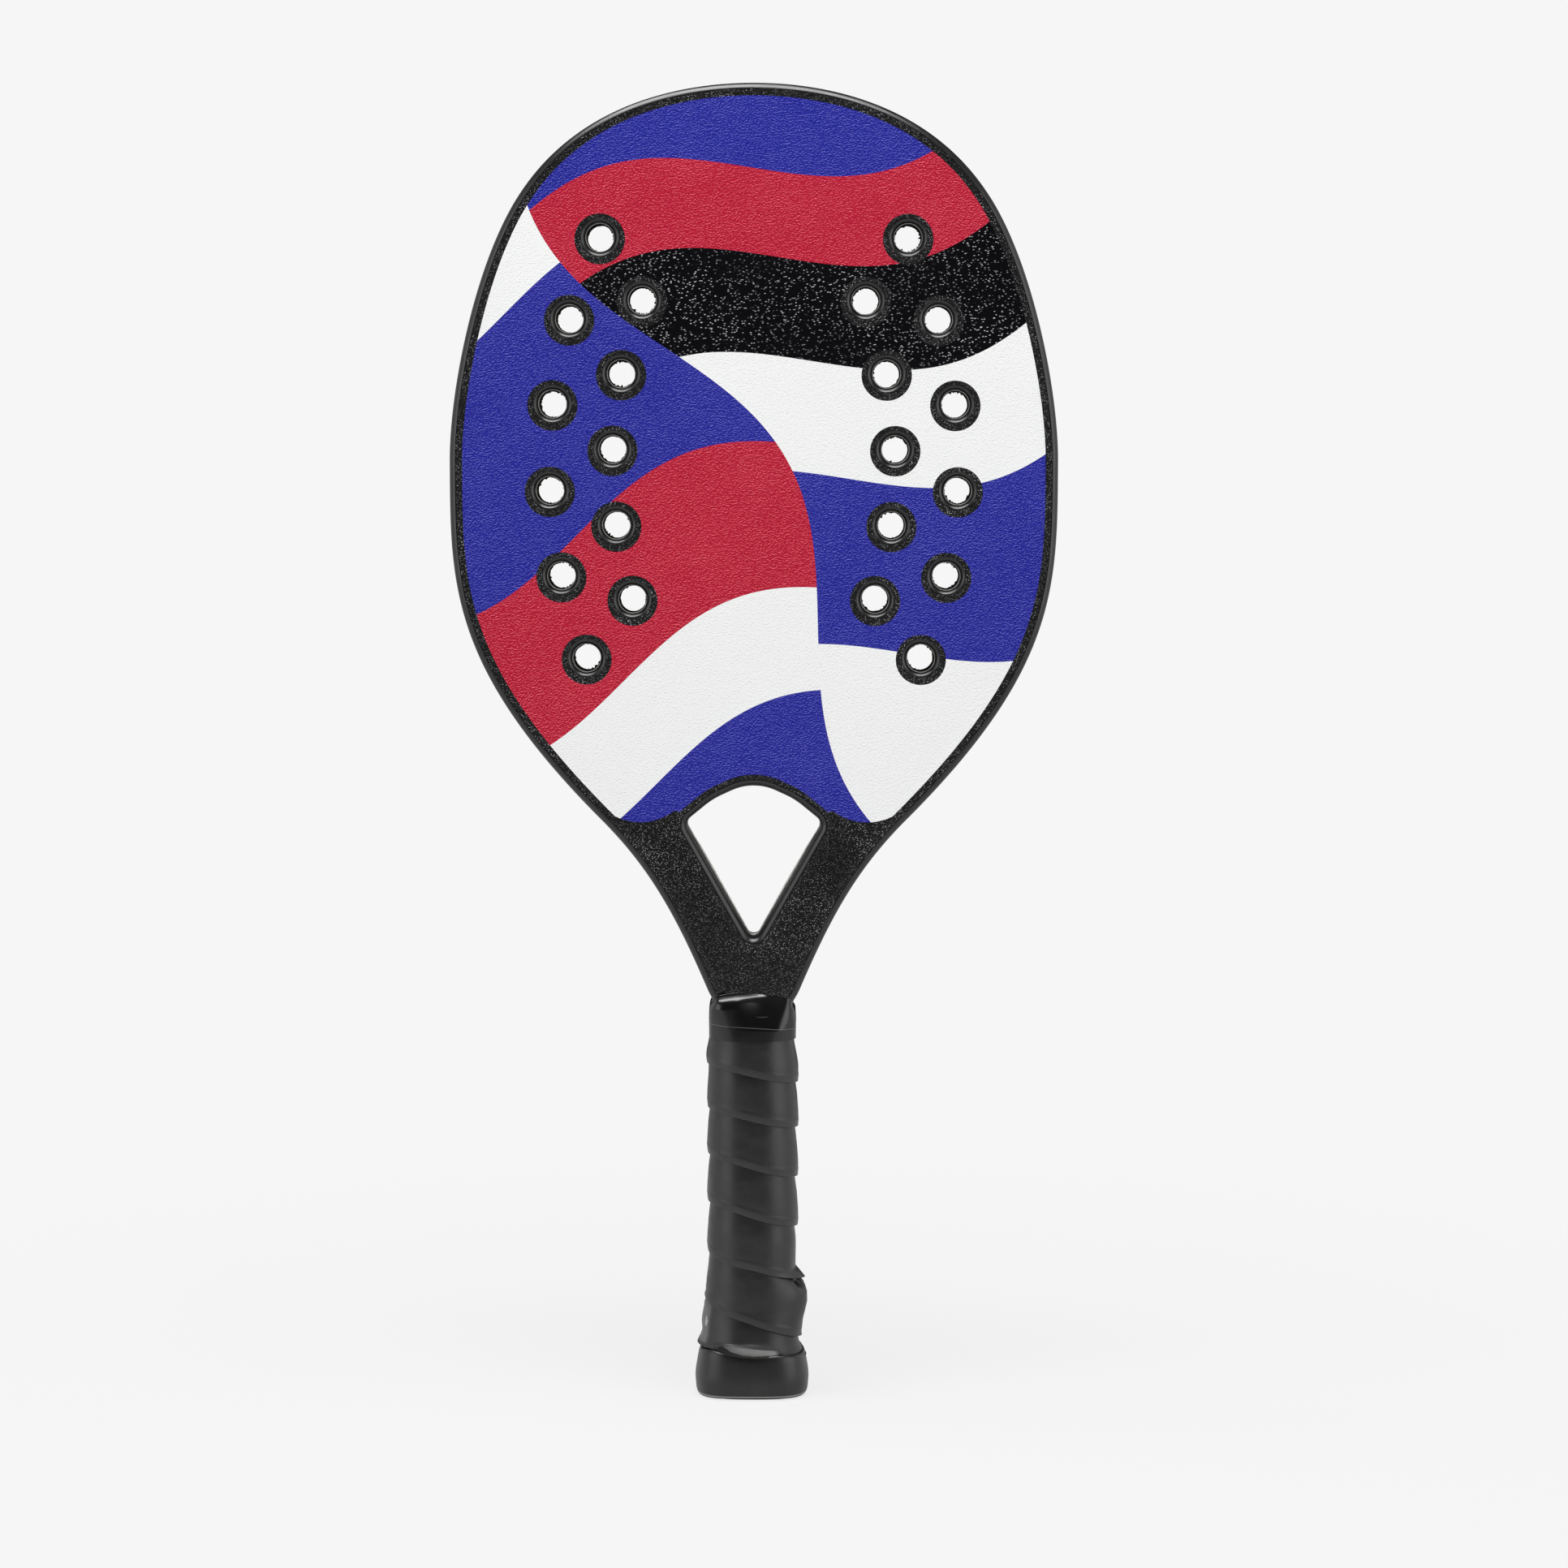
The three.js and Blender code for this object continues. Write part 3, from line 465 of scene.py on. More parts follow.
# Plain painted studio floor. Close to the racket part of its brightness is real light, so
# that the shadow shows, and further out it is the backdrop's own colour.
def makeFloorPaint():
    material = bpy.data.materials.new("studioFloor")
    material.use_nodes = True
    tree = material.node_tree
    tree.nodes.clear()
    far = vectorSum(tree, "LENGTH", addNode(tree, "ShaderNodeTexCoord", out=3), out=1)
    near = remap(tree, far, 0.1, studio["shadowReach"], studio["floorShadow"], 0.0, smooth=True)
    paint = addNode(tree, "ShaderNodeBsdfDiffuse", {0: linear("#c9c9c9")})
    shown = addNode(tree, "ShaderNodeEmission", {0: linear(studio["backdrop"]), 1: 1.0})
    own = addNode(tree, "ShaderNodeMixShader", {0: near, 1: shown, 2: paint})
    seen = addNode(tree, "ShaderNodeLightPath", out=0)
    mixed = addNode(tree, "ShaderNodeMixShader", {0: seen, 1: paint, 2: own})
    addNode(tree, "ShaderNodeOutputMaterial", {0: mixed}, out=None)
    return material


satinLacquer = makeLacquer()
bareResin = makeFlash()
printedFilm = makePrint()
bareFilm = makeBareFilm()
cutFibre = makeFray()
coreFoam = makeFoam("evaFoam", "#1c1c1e", "#2c2c2e", 0.6)
handleFoam = makeFoam("polyurethaneFoam", "#b5a978", "#d8cfae", 0.8)
wrapSkin = makeWrapSkin()
glossyTape = makeFilm()
capRubber = makeRubber("mouldedRubber", "#131313", "#1f1f1e", 0.36, 1.5)
plateRubber = makeRubber("mouldedPlate", "#0c0c0c", "#161615", 0.5, -1.0)
tapeCloth = makeTapeCloth()
floorPaint = makeFloorPaint()
print("materials ready")


# A finished piece from points in millimetres. faces may carry a material number each, and
# edges sharper than the angle stay crisp.
def makePiece(name, points, faces, materials, kinds=None, crisp=35):
    mesh = bpy.data.meshes.new(name)
    mesh.from_pydata([(x * mm, y * mm, z * mm) for x, y, z in points], [], faces)
    for material in materials:
        mesh.materials.append(material)
    if kinds:
        mesh.polygons.foreach_set("material_index", kinds)
    piece = bpy.data.objects.new(name, mesh)
    scene.collection.objects.link(piece)
    tidyMesh(mesh, crisp)
    return piece


# Merges doubles, turns the faces outwards and smooths all but the crisp edges.
def tidyMesh(mesh, crisp):
    shape = bmesh.new()
    shape.from_mesh(mesh)
    bmesh.ops.remove_doubles(shape, verts=shape.verts, dist=0.0005 * mm)
    bmesh.ops.dissolve_degenerate(shape, edges=shape.edges, dist=0.001 * mm)
    bmesh.ops.recalc_face_normals(shape, faces=shape.faces)
    loose = sum(1 for edge in shape.edges if len(edge.link_faces) != 2)
    if loose:
        print(mesh.name, "has", loose, "edges without two faces")
    shape.to_mesh(mesh)
    shape.free()
    mesh.shade_smooth()
    mesh.set_sharp_from_angle(angle=math.radians(crisp))
    mesh.update()


# The outline of the head, the same curves as the solid's, as shares of the head's half width
# and of its length above the neck.
racket = {
    "neckHeight": 157.0, "headLength": 343.0, "headHalfWidth": 115.0, "half": 10.0, "neckHalfWidth": 17.5,
    "neckAngle": 67, "neckPull": 0.095, "tailHalfWidth": 11.2, "tailTop": 144.0, "tailPull": 4.5,
    "tailEnd": 3.3, "sheetEnd": 153.6, "sheetGap": 0.1, "sheetThickness": 1.0, "frameWidth": 12.0,
    "armWidth": 22.5, "hipShare": 0.42, "rim": 2.4, "edge": 2.25, "edgePower": 1.45,
    "tailEdge": 4.0, "tailEdgeFrom": 153.0, "tailEdgeEase": 6.0,
    "step": 1.6, "tailStep": 8.0, "tailLast": 6.0, "windowStep": 1.5, "windowSteps": 10, "edgeSteps": 12,
}
headCurves = [
    [(0, 1), (0.2, 1), (0.563, 0.984), (0.769, 0.878)],
    [(0.769, 0.878), (0.915, 0.804), (1, 0.663), (1, 0.588)],
    [(1, 0.588), (1, 0.454), (1.011, 0.363), (0.514, 0.194)],
]
waistPull = (0.349, 0.139)
# The throat window's corners with their radii, from the top down to its foot and up again.
windowSide = [(0.135, 0.2146, 30), (0.231, 0.1883, 4)]
otherSide = [(-x, z, radius) for x, z, radius in reversed(windowSide)]
windowCorners = [(0, 0.2353, 20), *windowSide, (0, 0.0516, 2.8), *otherSide]


def headPoint(share):
    x, z = share
    return np.array([x * racket["headHalfWidth"], racket["neckHeight"] + z * racket["headLength"]])


def cubic(points, step):
    a, b, c, d = [np.array(p, float) for p in points]
    length = np.linalg.norm(b - a) + np.linalg.norm(c - b) + np.linalg.norm(d - c)
    t = np.linspace(0, 1, max(4, round(length / step)) + 1)[:, None]
    return a * (1 - t) ** 3 + 3 * b * t * (1 - t) ** 2 + 3 * c * t * t * (1 - t) + d * t**3


def outlineLoop():
    angle = math.radians(racket["neckAngle"])
    along = np.array([math.cos(angle), math.sin(angle)])
    neck = np.array([racket["neckHalfWidth"], racket["neckHeight"]])
    tailSide, tailPull = racket["tailHalfWidth"], racket["tailPull"]
    tail = np.array([tailSide, racket["tailTop"]])
    waist = headPoint(headCurves[2][3])
    runs = [[headPoint(share) for share in curve] for curve in headCurves]
    runs.append([waist, headPoint(waistPull), neck + along * racket["neckPull"] * racket["headLength"], neck])
    runs.append([neck, neck - along * tailPull, tail + [0, tailPull], tail])
    right = np.concatenate([cubic(run, racket["step"])[:-1] for run in runs])
    tailEnd = racket["tailEnd"]
    drop = [*np.arange(racket["tailTop"], tailEnd + racket["tailLast"], -racket["tailStep"]), tailEnd]
    right = np.concatenate([right, [(tailSide, z) for z in drop]])
    left = right[1:][::-1] * [-1, 1]
    return np.concatenate([right, left])


# Moves a closed loop inwards by a distance, one for all or one for each point.
def insetLoop(loop, distance):
    before, after = np.roll(loop, 1, axis=0), np.roll(loop, -1, axis=0)
    into = (loop - before) / np.linalg.norm(loop - before, axis=1)[:, None]
    out = (after - loop) / np.linalg.norm(after - loop, axis=1)[:, None]
    along = into + out
    along /= np.linalg.norm(along, axis=1)[:, None]
    area = np.sum(loop[:, 0] * after[:, 1] - after[:, 0] * loop[:, 1])
    normal = np.stack([-along[:, 1], along[:, 0]], axis=1) * (1 if area > 0 else -1)
    miter = np.sum(along * out, axis=1)
    return loop + normal * (np.asarray(distance) / miter).reshape(-1, 1)


# Rounds a closed polygon's corners, given as (x, z, radius).
def roundLoop(corners, steps):
    made = []
    count = len(corners)
    for i, (x, z, radius) in enumerate(corners):
        corner = Vector((x, z))
        back = (Vector(corners[i - 1][:2]) - corner).normalized()
        ahead = (Vector(corners[(i + 1) % count][:2]) - corner).normalized()
        halfAngle = back.angle(ahead) / 2
        centre = corner + (back + ahead).normalized() * (radius / math.sin(halfAngle))
        start = corner + back * (radius / math.tan(halfAngle)) - centre
        end = corner + ahead * (radius / math.tan(halfAngle)) - centre
        sweep = math.atan2(start.x * end.y - start.y * end.x, start.dot(end))
        for k in range(steps + 1):
            turned = Matrix.Rotation(sweep * k / steps, 2) @ start
            made.append((centre.x + turned.x, centre.y + turned.y))
    return np.array(made)


# Fills long straight runs of a closed loop with points.
def evenLoop(loop, step):
    made = []
    for a, b in zip(loop, np.roll(loop, -1, axis=0)):
        count = max(1, round(np.linalg.norm(b - a) / step))
        made += [a + (b - a) * k / count for k in range(count)]
    return np.array(made)


placedCorners = [(*headPoint(corner[:2]), corner[2]) for corner in windowCorners]
windowLoop = evenLoop(roundLoop(placedCorners, racket["windowSteps"]), racket["windowStep"])
outline = outlineLoop()


# Collects points and faces of one piece, loop by loop.
class Shape:
    def __init__(self):
        self.points, self.faces, self.kinds = [], [], []

    def ring(self, places):
        start = len(self.points)
        self.points += places
        return list(range(start, len(self.points)))

    def loop(self, flat, y):
        depth = np.broadcast_to(np.asarray(y, float), (len(flat),))
        return self.ring([(float(x), float(d), float(z)) for (x, z), d in zip(flat, depth)])

    def bridge(self, one, other, kind=0):
        for k in range(len(one)):
            n = (k + 1) % len(one)
            self.faces.append((one[k], one[n], other[n], other[k]))
            self.kinds.append(kind)

    def fill(self, loops, kind=0):
        flat = [[Vector((self.points[i][0], self.points[i][2], 0)) for i in loop] for loop in loops]
        index = [i for loop in loops for i in loop]
        for a, b, c in tessellate_polygon(flat):
            self.faces.append((index[a], index[b], index[c]))
            self.kinds.append(kind)


# Where the sheet's straight lower end cuts a loop: the first and last places below it.
def belowEnd(loop, level):
    under = np.where(loop[:, 1] <= level)[0]
    return under[0], under[-1]


# The core's space: the frame's inner side, closed below by the roof line of the bridge over
# the throat window.
bridge = {
    "width": 12.0, "apexRadius": 20.0, "endRadius": 0.5, "farRadius": 1.0, "steps": 10,
    "cornerGap": 8, "roofGap": 1, "footIn": 1.2, "topIn": 0.4, "reach": 200,
}


def coreLoop(gap):
    apex, shoulder, corner = [headPoint(share[:2]) for share in windowCorners[:3]]
    hip = racket["neckHeight"] + racket["hipShare"] * racket["headLength"]
    share = np.clip((hip - outline[:, 1]) / (hip - corner[1]), 0, 1)
    inner = insetLoop(outline, racket["frameWidth"] + (racket["armWidth"] - racket["frameWidth"]) * share**2)
    slope = (apex[1] - shoulder[1]) / (shoulder[0] - apex[0])
    ridge = apex[1] + bridge["width"] * math.hypot(1, slope)
    roofGap, lowest = bridge["roofGap"], corner[1] + bridge["cornerGap"]
    right = [p for p in inner[: len(inner) // 2] if p[0] > 0 and p[1] > ridge - slope * p[0] + roofGap]
    right = [p for p in right if p[1] > lowest]
    right[0][0] = max(right[0][0], bridge["topIn"])
    footX = right[-1][0] - bridge["footIn"]
    footZ = ridge - slope * footX
    path = [*[(x, z) for x, z in right], (footX, footZ)]
    path += [(-x, z) for x, z in reversed(path)]
    radius, endRadius = bridge["apexRadius"], bridge["endRadius"]
    feet = [(side * footX, footZ, endRadius) for side in (1, -1)]
    corners = [feet[0], (0, ridge, radius), feet[1], (0, ridge + bridge["reach"], bridge["farRadius"])]
    roof = [p for p in roundLoop(corners, bridge["steps"]) if abs(p[0]) < radius and p[1] < ridge]
    half = len(path) // 2
    loop = np.array([*path[:half], *roof, *path[half:]])
    return insetLoop(loop, gap) if gap else loop


# A rounded corner of size 1 as (in from the side, down from the face). Power 2 is round, and
# less is flatter across, like a chamfer with soft edges.
def cornerStations(power):
    steps = racket["edgeSteps"]
    angles = [math.pi / 2 * k / steps for k in range(steps + 1)]
    return [(1 - math.sin(a) ** (2 / power), 1 - abs(math.cos(a)) ** (2 / power)) for a in angles]


# The moulded frame: rolled rim, recess for the face sheets, throat window and mould line.
mouldLine = {
    "outside": 0.12, "window": 0.7, "halfHeight": 0.35, "ridge": ((0.35, 0.5), (1.0, 0.12)),
    "along": [(176, 0.7), (184, 1), (212, 1), (222, 0.3)], "wander": 0.12, "waves": (0.21, 0.083),
}


def makeFrame():
    shape = Shape()
    half, rim, edge, height = racket["half"], racket["rim"], racket["edge"], mouldLine["halfHeight"]
    floorDepth = half - racket["sheetThickness"]
    unit = cornerStations(racket["edgePower"])

    taper = np.clip((racket["tailEdgeFrom"] - outline[:, 1]) / racket["tailEdgeEase"], 0, 1)
    edges = edge + (racket["tailEdge"] - edge) * taper
    first = insetLoop(outline, edges + rim - edge)
    low, high = belowEnd(first, racket["sheetEnd"])
    first[[low, high], 1] = racket["sheetEnd"]
    bead = insetLoop(outline, mouldLine["outside"])
    outwards = [(first, -half)]
    for inward, down in unit:
        outwards.append((insetLoop(outline, mouldLine["outside"] + edges * inward), -half + edges * down))
    outwards += [(bead, -height), (outline, 0.0), (bead, height)]
    outwards += [(flat, -depth) for flat, depth in outwards[:-3][::-1]]
    rings = [shape.loop(flat, depth) for flat, depth in outwards]
    for one, other in zip(rings, rings[1:]):
        shape.bridge(one, other)

    quick, slow = [np.sin(np.arange(len(windowLoop)) * wave) for wave in mouldLine["waves"]]
    wander = (1 + mouldLine["wander"] * quick * slow) * np.interp(windowLoop[:, 1], *zip(*mouldLine["along"]))
    inwards = [(insetLoop(windowLoop, -rim), -half)]
    inwards += [(insetLoop(windowLoop, -edge * inward), -half + edge * down) for inward, down in unit]
    inwards += [(windowLoop, -2 * height)]
    for out, depth in mouldLine["ridge"]:
        inwards.append((insetLoop(windowLoop, mouldLine["window"] * wander * out), -depth))
    inwards += [(flat, -depth) for flat, depth in inwards[::-1]]
    holes = [shape.loop(flat, depth) for flat, depth in inwards]
    middle = len(holes) // 2
    for k in range(len(holes) - 1):
        # The ridge's faces take the pale resin, partly a painted highlight along the lit ridge.
        shape.bridge(holes[k], holes[k + 1], 1 if middle - 2 <= k < middle else 0)

    space = coreLoop(0)
    cores = [shape.loop(space, -floorDepth), shape.loop(space, floorDepth)]
    shape.bridge(*cores)
    order = [*range(high, len(first)), *range(0, low + 1)]
    for ring, hole, side, inner in ((rings[0], holes[0], -1, cores[0]), (rings[-1], holes[-1], 1, cores[1])):
        bottom = shape.loop(first[order], side * floorDepth)
        shape.bridge([ring[i] for i in order], bottom)
        holeBottom = shape.loop(inwards[0][0], side * floorDepth)
        shape.bridge(hole, holeBottom)
        shape.fill([bottom, holeBottom, inner])
        shape.fill([ring[low : high + 1]])
    return makePiece("mouldedFrame", shape.points, shape.faces, [satinLacquer, bareResin], shape.kinds)


# The holes' places: two arcs a side, each as (reach, radius, count).
holeLayout = {
    "levelShare": 0.5836, "step": 9.45, "tilt": 1.95, "arcs": [(77.2, 197.2, 6), (53.4, 173.4, 5)],
    "mouth": 7.3, "printedRing": 9.5, "ringDrop": 0.6, "bore": 5.6, "boreSteps": 40,
}


def holePlaces():
    level = racket["neckHeight"] + holeLayout["levelShare"] * racket["headLength"]
    places = []
    for reach, radius, count in holeLayout["arcs"]:
        for i in range(count):
            angle = math.radians(holeLayout["tilt"] + ((count - 1) / 2 - i) * holeLayout["step"])
            x, z = reach - radius + radius * math.cos(angle), level + radius * math.sin(angle)
            places += [(x, z), (-x, z)]
    return places


def circle(place, radius, count=56):
    angles = np.arange(count) * 2 * math.pi / count
    return np.stack([place[0] + radius * np.cos(angles), place[1] + radius * np.sin(angles)], axis=1)


# One face sheet: print inside a plain textured border, and plain rings round the holes.
sheet = {"border": 5.0, "windowBorder": 4.4, "chamfer": 0.08}


def makeSheet(name, side):
    shape = Shape()
    half, inner = racket["half"] * side, (racket["half"] - racket["sheetThickness"]) * side
    inset, chamfer = racket["rim"] + racket["sheetGap"], sheet["chamfer"]
    foot = racket["sheetEnd"] + racket["sheetGap"]
    chamfered = half - chamfer * side
    loops = []
    for distance, depth in ((inset, chamfered), (inset + chamfer, half), (sheet["border"], half)):
        flat = insetLoop(outline, distance)
        loops.append((flat, depth, *belowEnd(flat, foot)))
    start = max(loop[3] for loop in loops)
    end = min(loop[2] for loop in loops)
    order = [*range(start, len(outline)), *range(0, end + 1)]
    rings = []
    for flat, depth, _, _ in loops:
        cut = flat[order].copy()
        cut[[0, -1], 1] = foot
        rings.append(shape.loop(cut, depth))
    back = shape.loop(np.array([(shape.points[i][0], shape.points[i][2]) for i in rings[0]]), inner)
    for one, other in zip([back, *rings], rings):
        shape.bridge(one, other, 1)
    windowEdge = ((inset, inner), (inset, chamfered), (inset + chamfer, half), (sheet["windowBorder"], half))
    windows = [shape.loop(insetLoop(windowLoop, -distance), depth) for distance, depth in windowEdge]
    for one, other in zip(windows, windows[1:]):
        shape.bridge(one, other, 1)
    printed, backs = [rings[2], windows[3]], [back, windows[0]]
    for place in holePlaces():
        dropped = (place[0], place[1] - holeLayout["ringDrop"])
        ring = shape.loop(circle(dropped, holeLayout["printedRing"]), half)
        mouth = shape.loop(circle(place, holeLayout["mouth"]), half)
        under = shape.loop(circle(place, holeLayout["mouth"]), inner)
        shape.bridge(ring, mouth, 1)
        shape.bridge(mouth, under, 1)
        printed.append(ring)
        backs.append(under)
    shape.fill(printed, 0)
    shape.fill(backs, 1)
    return makePiece(name, shape.points, shape.faces, [printedFilm, bareFilm], shape.kinds)


core = {"gap": 0.3, "under": 0.15}  # round it, and between it and each sheet


def makeCore():
    shape = Shape()
    depth = racket["half"] - racket["sheetThickness"] - core["under"]
    outer = coreLoop(core["gap"])
    bores = [circle(place, holeLayout["bore"], holeLayout["boreSteps"]) for place in holePlaces()]
    sides = [[shape.loop(flat, y) for flat in (outer, *bores)] for y in (-depth, depth)]
    for one, other in zip(*sides):
        shape.bridge(one, other)
    shape.fill(sides[0])
    shape.fill(sides[1])
    return makePiece("foamCore", shape.points, shape.faces, [coreFoam])


mouldedFrame = makeFrame()
frontFace = makeSheet("frontFace", -1)
rearFace = makeSheet("rearFace", 1)
foamCore = makeCore()
print("head ready")


# One hole's moulded lining, as (radius, depth) from the front face to the middle, then out
# to the wall of the bore. It is made once and set at every hole.
lining = {
    "mouth": 7.28, "throat": 5.6, "face": 9.98, "depth": 1.8, "cornerPower": 1.6, "steps": 56,
    "lip": [
        (5.6, 8.12), (5.56, 8.0), (5.48, 8.02), (5.4, 8.12), (5.3, 8.14), (5.24, 8.05), (5.22, 7.85),
        (5.26, 7.7),
    ],
    "bore": [(5.3, 3.5), (5.3, 0.35)], "wall": [(7.28, 9.02), (5.52, 8.92)],
    "lipWithin": 5.52, "lipAbove": 7.75,
}
# The fibre left in the middle of a hole's bore.
fray = {
    "profile": [(5.34, 0.25), (5.0, 0.22), (4.86, 0.1)], "steps": 120,
    "length": 1.1, "size": 0.9, "within": 5.1,
}


def mirrored(profile):
    return [(radius, -depth) for radius, depth in reversed(profile)]


def spinRing(name, profile, count, material):
    shape = Shape()
    rows = []
    for k in range(count):
        angle = 2 * math.pi * k / count
        rows.append(shape.ring([(r * math.cos(angle), -y, r * math.sin(angle)) for r, y in profile]))
    for k in range(count):
        shape.bridge(rows[k], rows[(k + 1) % count])
    return makePiece(name, shape.points, shape.faces, [material])


def liningProfile():
    widen = lining["mouth"] - lining["throat"]
    front = []
    for inward, down in cornerStations(lining["cornerPower"]):
        front.append((lining["throat"] + widen * inward, lining["face"] - lining["depth"] * down))
    front += [*lining["lip"], *lining["bore"]]
    return [*front, *mirrored(front), *mirrored(lining["wall"][::-1]), *lining["wall"][::-1]]


# A new tree with its inputs, each a name and a kind of socket, and the group's own outputs.
def startTree(name, inputs, output):
    tree = bpy.data.node_groups.new(name, "GeometryNodeTree")
    for socket, kind in inputs:
        tree.interface.new_socket(socket, in_out="INPUT", socket_type="NodeSocket" + kind)
    tree.interface.new_socket(output, in_out="OUTPUT", socket_type="NodeSocketGeometry")
    return tree, addNode(tree, "NodeGroupInput", out=None).outputs


def storeMark(tree, geometry, name, value, kind="FLOAT", domain="POINT"):
    feeds = {"Geometry": geometry, "Name": name, "Value": value}
    return addNode(tree, "GeometryNodeStoreNamedAttribute", feeds, data_type=kind, domain=domain)


def namedMark(tree, name, kind="FLOAT"):
    return addNode(tree, "GeometryNodeInputNamedAttribute", {"Name": name}, data_type=kind)


# Sets a shape at every hole, each turned by its own angle, and frays its inner edge inwards.
def makeHoleTree(name, material):
    numbers = ("Fray length", "Fray size", "Frays within", "Lip within", "Lip above")
    inputs = [("Places", "Geometry"), ("Shape", "Object"), ("Seed", "Int")]
    inputs += [(number, "Float") for number in numbers]
    tree, given = startTree(name, inputs, "Holes")
    shape = addNode(tree, "GeometryNodeObjectInfo", {"Object": given["Shape"]}, out="Geometry")
    feeds = {"Min": (0, 0, 0), "Max": (0, 6.283, 0), "Seed": given["Seed"]}
    turn = addNode(tree, "FunctionNodeRandomValue", feeds, data_type="FLOAT_VECTOR")
    feeds = {"Points": given["Places"], "Instance": shape, "Rotation": turn}
    setOut = addNode(tree, "GeometryNodeInstanceOnPoints", feeds)
    position = addNode(tree, "GeometryNodeInputPosition")
    stored = storeMark(tree, setOut, "centre", position, "FLOAT_VECTOR", "INSTANCE")
    real = addNode(tree, "GeometryNodeRealizeInstances", {"Geometry": stored})
    spoke = vectorSum(tree, "SUBTRACT", namedMark(tree, "centre", "FLOAT_VECTOR"), position)
    flatSpoke = vectorSum(tree, "MULTIPLY", spoke, (1, 0, 1))
    spread = addNode(tree, "ShaderNodeMath", {0: 1.0, 1: given["Fray size"]}, operation="DIVIDE")
    values = {name: given[name] for name in numbers}
    values["reach"] = vectorSum(tree, "LENGTH", flatSpoke, out=1)
    values["rough"] = addNoise(tree, position, spread, 4.0, Roughness=0.75)
    values["worn"] = remap(tree, addNoise(tree, position, 170.0, 1.0), 0.44, 0.58, 0.12, 1.0)
    values["fromMiddle"] = addNode(tree, "ShaderNodeSeparateXYZ", {0: position}, out=1)
    workOut(tree, values, [
        ("frays", "LESS_THAN", "reach", "Frays within"),
        ("above", "SUBTRACT", "rough", 0.5),
        ("kept", "MAXIMUM", "above", 0.0),
        ("steep", "MULTIPLY", "kept", 5.0),
        ("full", "MINIMUM", "steep", 1.0),
        ("ragged", "MULTIPLY", "full", "worn"),
        ("grown", "MULTIPLY", "ragged", "Fray length"),
        ("amount", "MULTIPLY", "grown", "frays"),
        ("away", "ABSOLUTE", "fromMiddle"),
        ("near", "LESS_THAN", "reach", "Lip within"),
        ("high", "GREATER_THAN", "away", "Lip above"),
        ("lip", "MULTIPLY", "near", "high"),
    ])
    shift = scaled(tree, vectorSum(tree, "NORMALIZE", flatSpoke), values["amount"])
    moved = addNode(tree, "GeometryNodeSetPosition", {"Geometry": real, "Offset": shift})
    painted = addNode(tree, "GeometryNodeSetMaterial", {"Geometry": moved, "Material": material})
    # The lips take the pale resin, partly a painted highlight round each lit lip.
    feeds = {"Geometry": painted, "Selection": values["lip"], "Material": bareResin}
    lipped = addNode(tree, "GeometryNodeSetMaterial", feeds)
    addNode(tree, "NodeGroupOutput", {0: lipped}, out=None)
    return tree


# Runs a Geometry Nodes tree on an object with the inputs given by name, and keeps the result as a
# plain mesh with no modifier.
def applyTree(piece, tree, inputs, crisp):
    modifier = piece.modifiers.new(tree.name, "NODES")
    modifier.node_group = tree
    keys = {item.name: item.identifier for item in tree.interface.items_tree if item.in_out == "INPUT"}
    for name, value in inputs.items():
        modifier[keys[name]] = value
    piece.update_tag()
    bpy.context.view_layer.update()
    graph = bpy.context.evaluated_depsgraph_get()
    evaluated = piece.evaluated_get(graph)
    mesh = bpy.data.meshes.new_from_object(evaluated, preserve_all_data_layers=True, depsgraph=graph)
    piece.modifiers.remove(modifier)
    old = piece.data
    piece.data = mesh
    mesh.name = piece.name
    bpy.data.meshes.remove(old)
    tidyMesh(mesh, crisp)
    return piece


def pointPiece(name, places):
    mesh = bpy.data.meshes.new(name)
    mesh.from_pydata([(x * mm, 0, z * mm) for x, z in places], [], [])
    piece = bpy.data.objects.new(name, mesh)
    scene.collection.objects.link(piece)
    return piece


def setAtHoles(name, treeName, shape, material, crisp, seed, **sizes):
    inputs = {"Shape": shape, "Seed": seed, "Fray size": mm}
    for socket in ("Fray length", "Frays within", "Lip within", "Lip above"):
        inputs[socket] = 0.0
    inputs.update({socket.replace("_", " "): size * mm for socket, size in sizes.items()})
    piece = applyTree(pointPiece(name, holePlaces()), makeHoleTree(treeName, material), inputs, crisp)
    bpy.data.objects.remove(shape)
    return piece


oneLining = spinRing("oneLining", liningProfile(), lining["steps"], satinLacquer)
holeLinings = setAtHoles("holeLinings", "liningHoles", oneLining, satinLacquer, 40, 4,
                         Lip_within=lining["lipWithin"], Lip_above=lining["lipAbove"])
frayProfile = [*mirrored(fray["profile"][::-1]), *fray["profile"][::-1]]
oneFray = spinRing("oneFray", frayProfile, fray["steps"], cutFibre)
holeFray = setAtHoles("holeFray", "frayingHoles", oneFray, cutFibre, 60, 11,
                      Fray_length=fray["length"], Fray_size=fray["size"], Frays_within=fray["within"])
print("holes ready")


# Handle: an octagon whose facets lie at these distances from the axis, its corners rounded
# by the power of the norm that joins them. It flares towards the butt.
handle = {
    "halfWidth": 14.5, "halfDepth": 13.0, "diagonal": 14.838, "diagonalX": 0.7057, "diagonalY": 0.7085,
    "power": 26.0, "softPower": 8.5, "flareHeight": 34.0, "flareGrow": 3.0,
    "tapedLow": 136.0, "tapedEase": 9.0, "tapedDraw": 0.7,
}
flareShares = [(0, 1), (0.35, 0.9), (0.7, 0.4), (1, 0)]
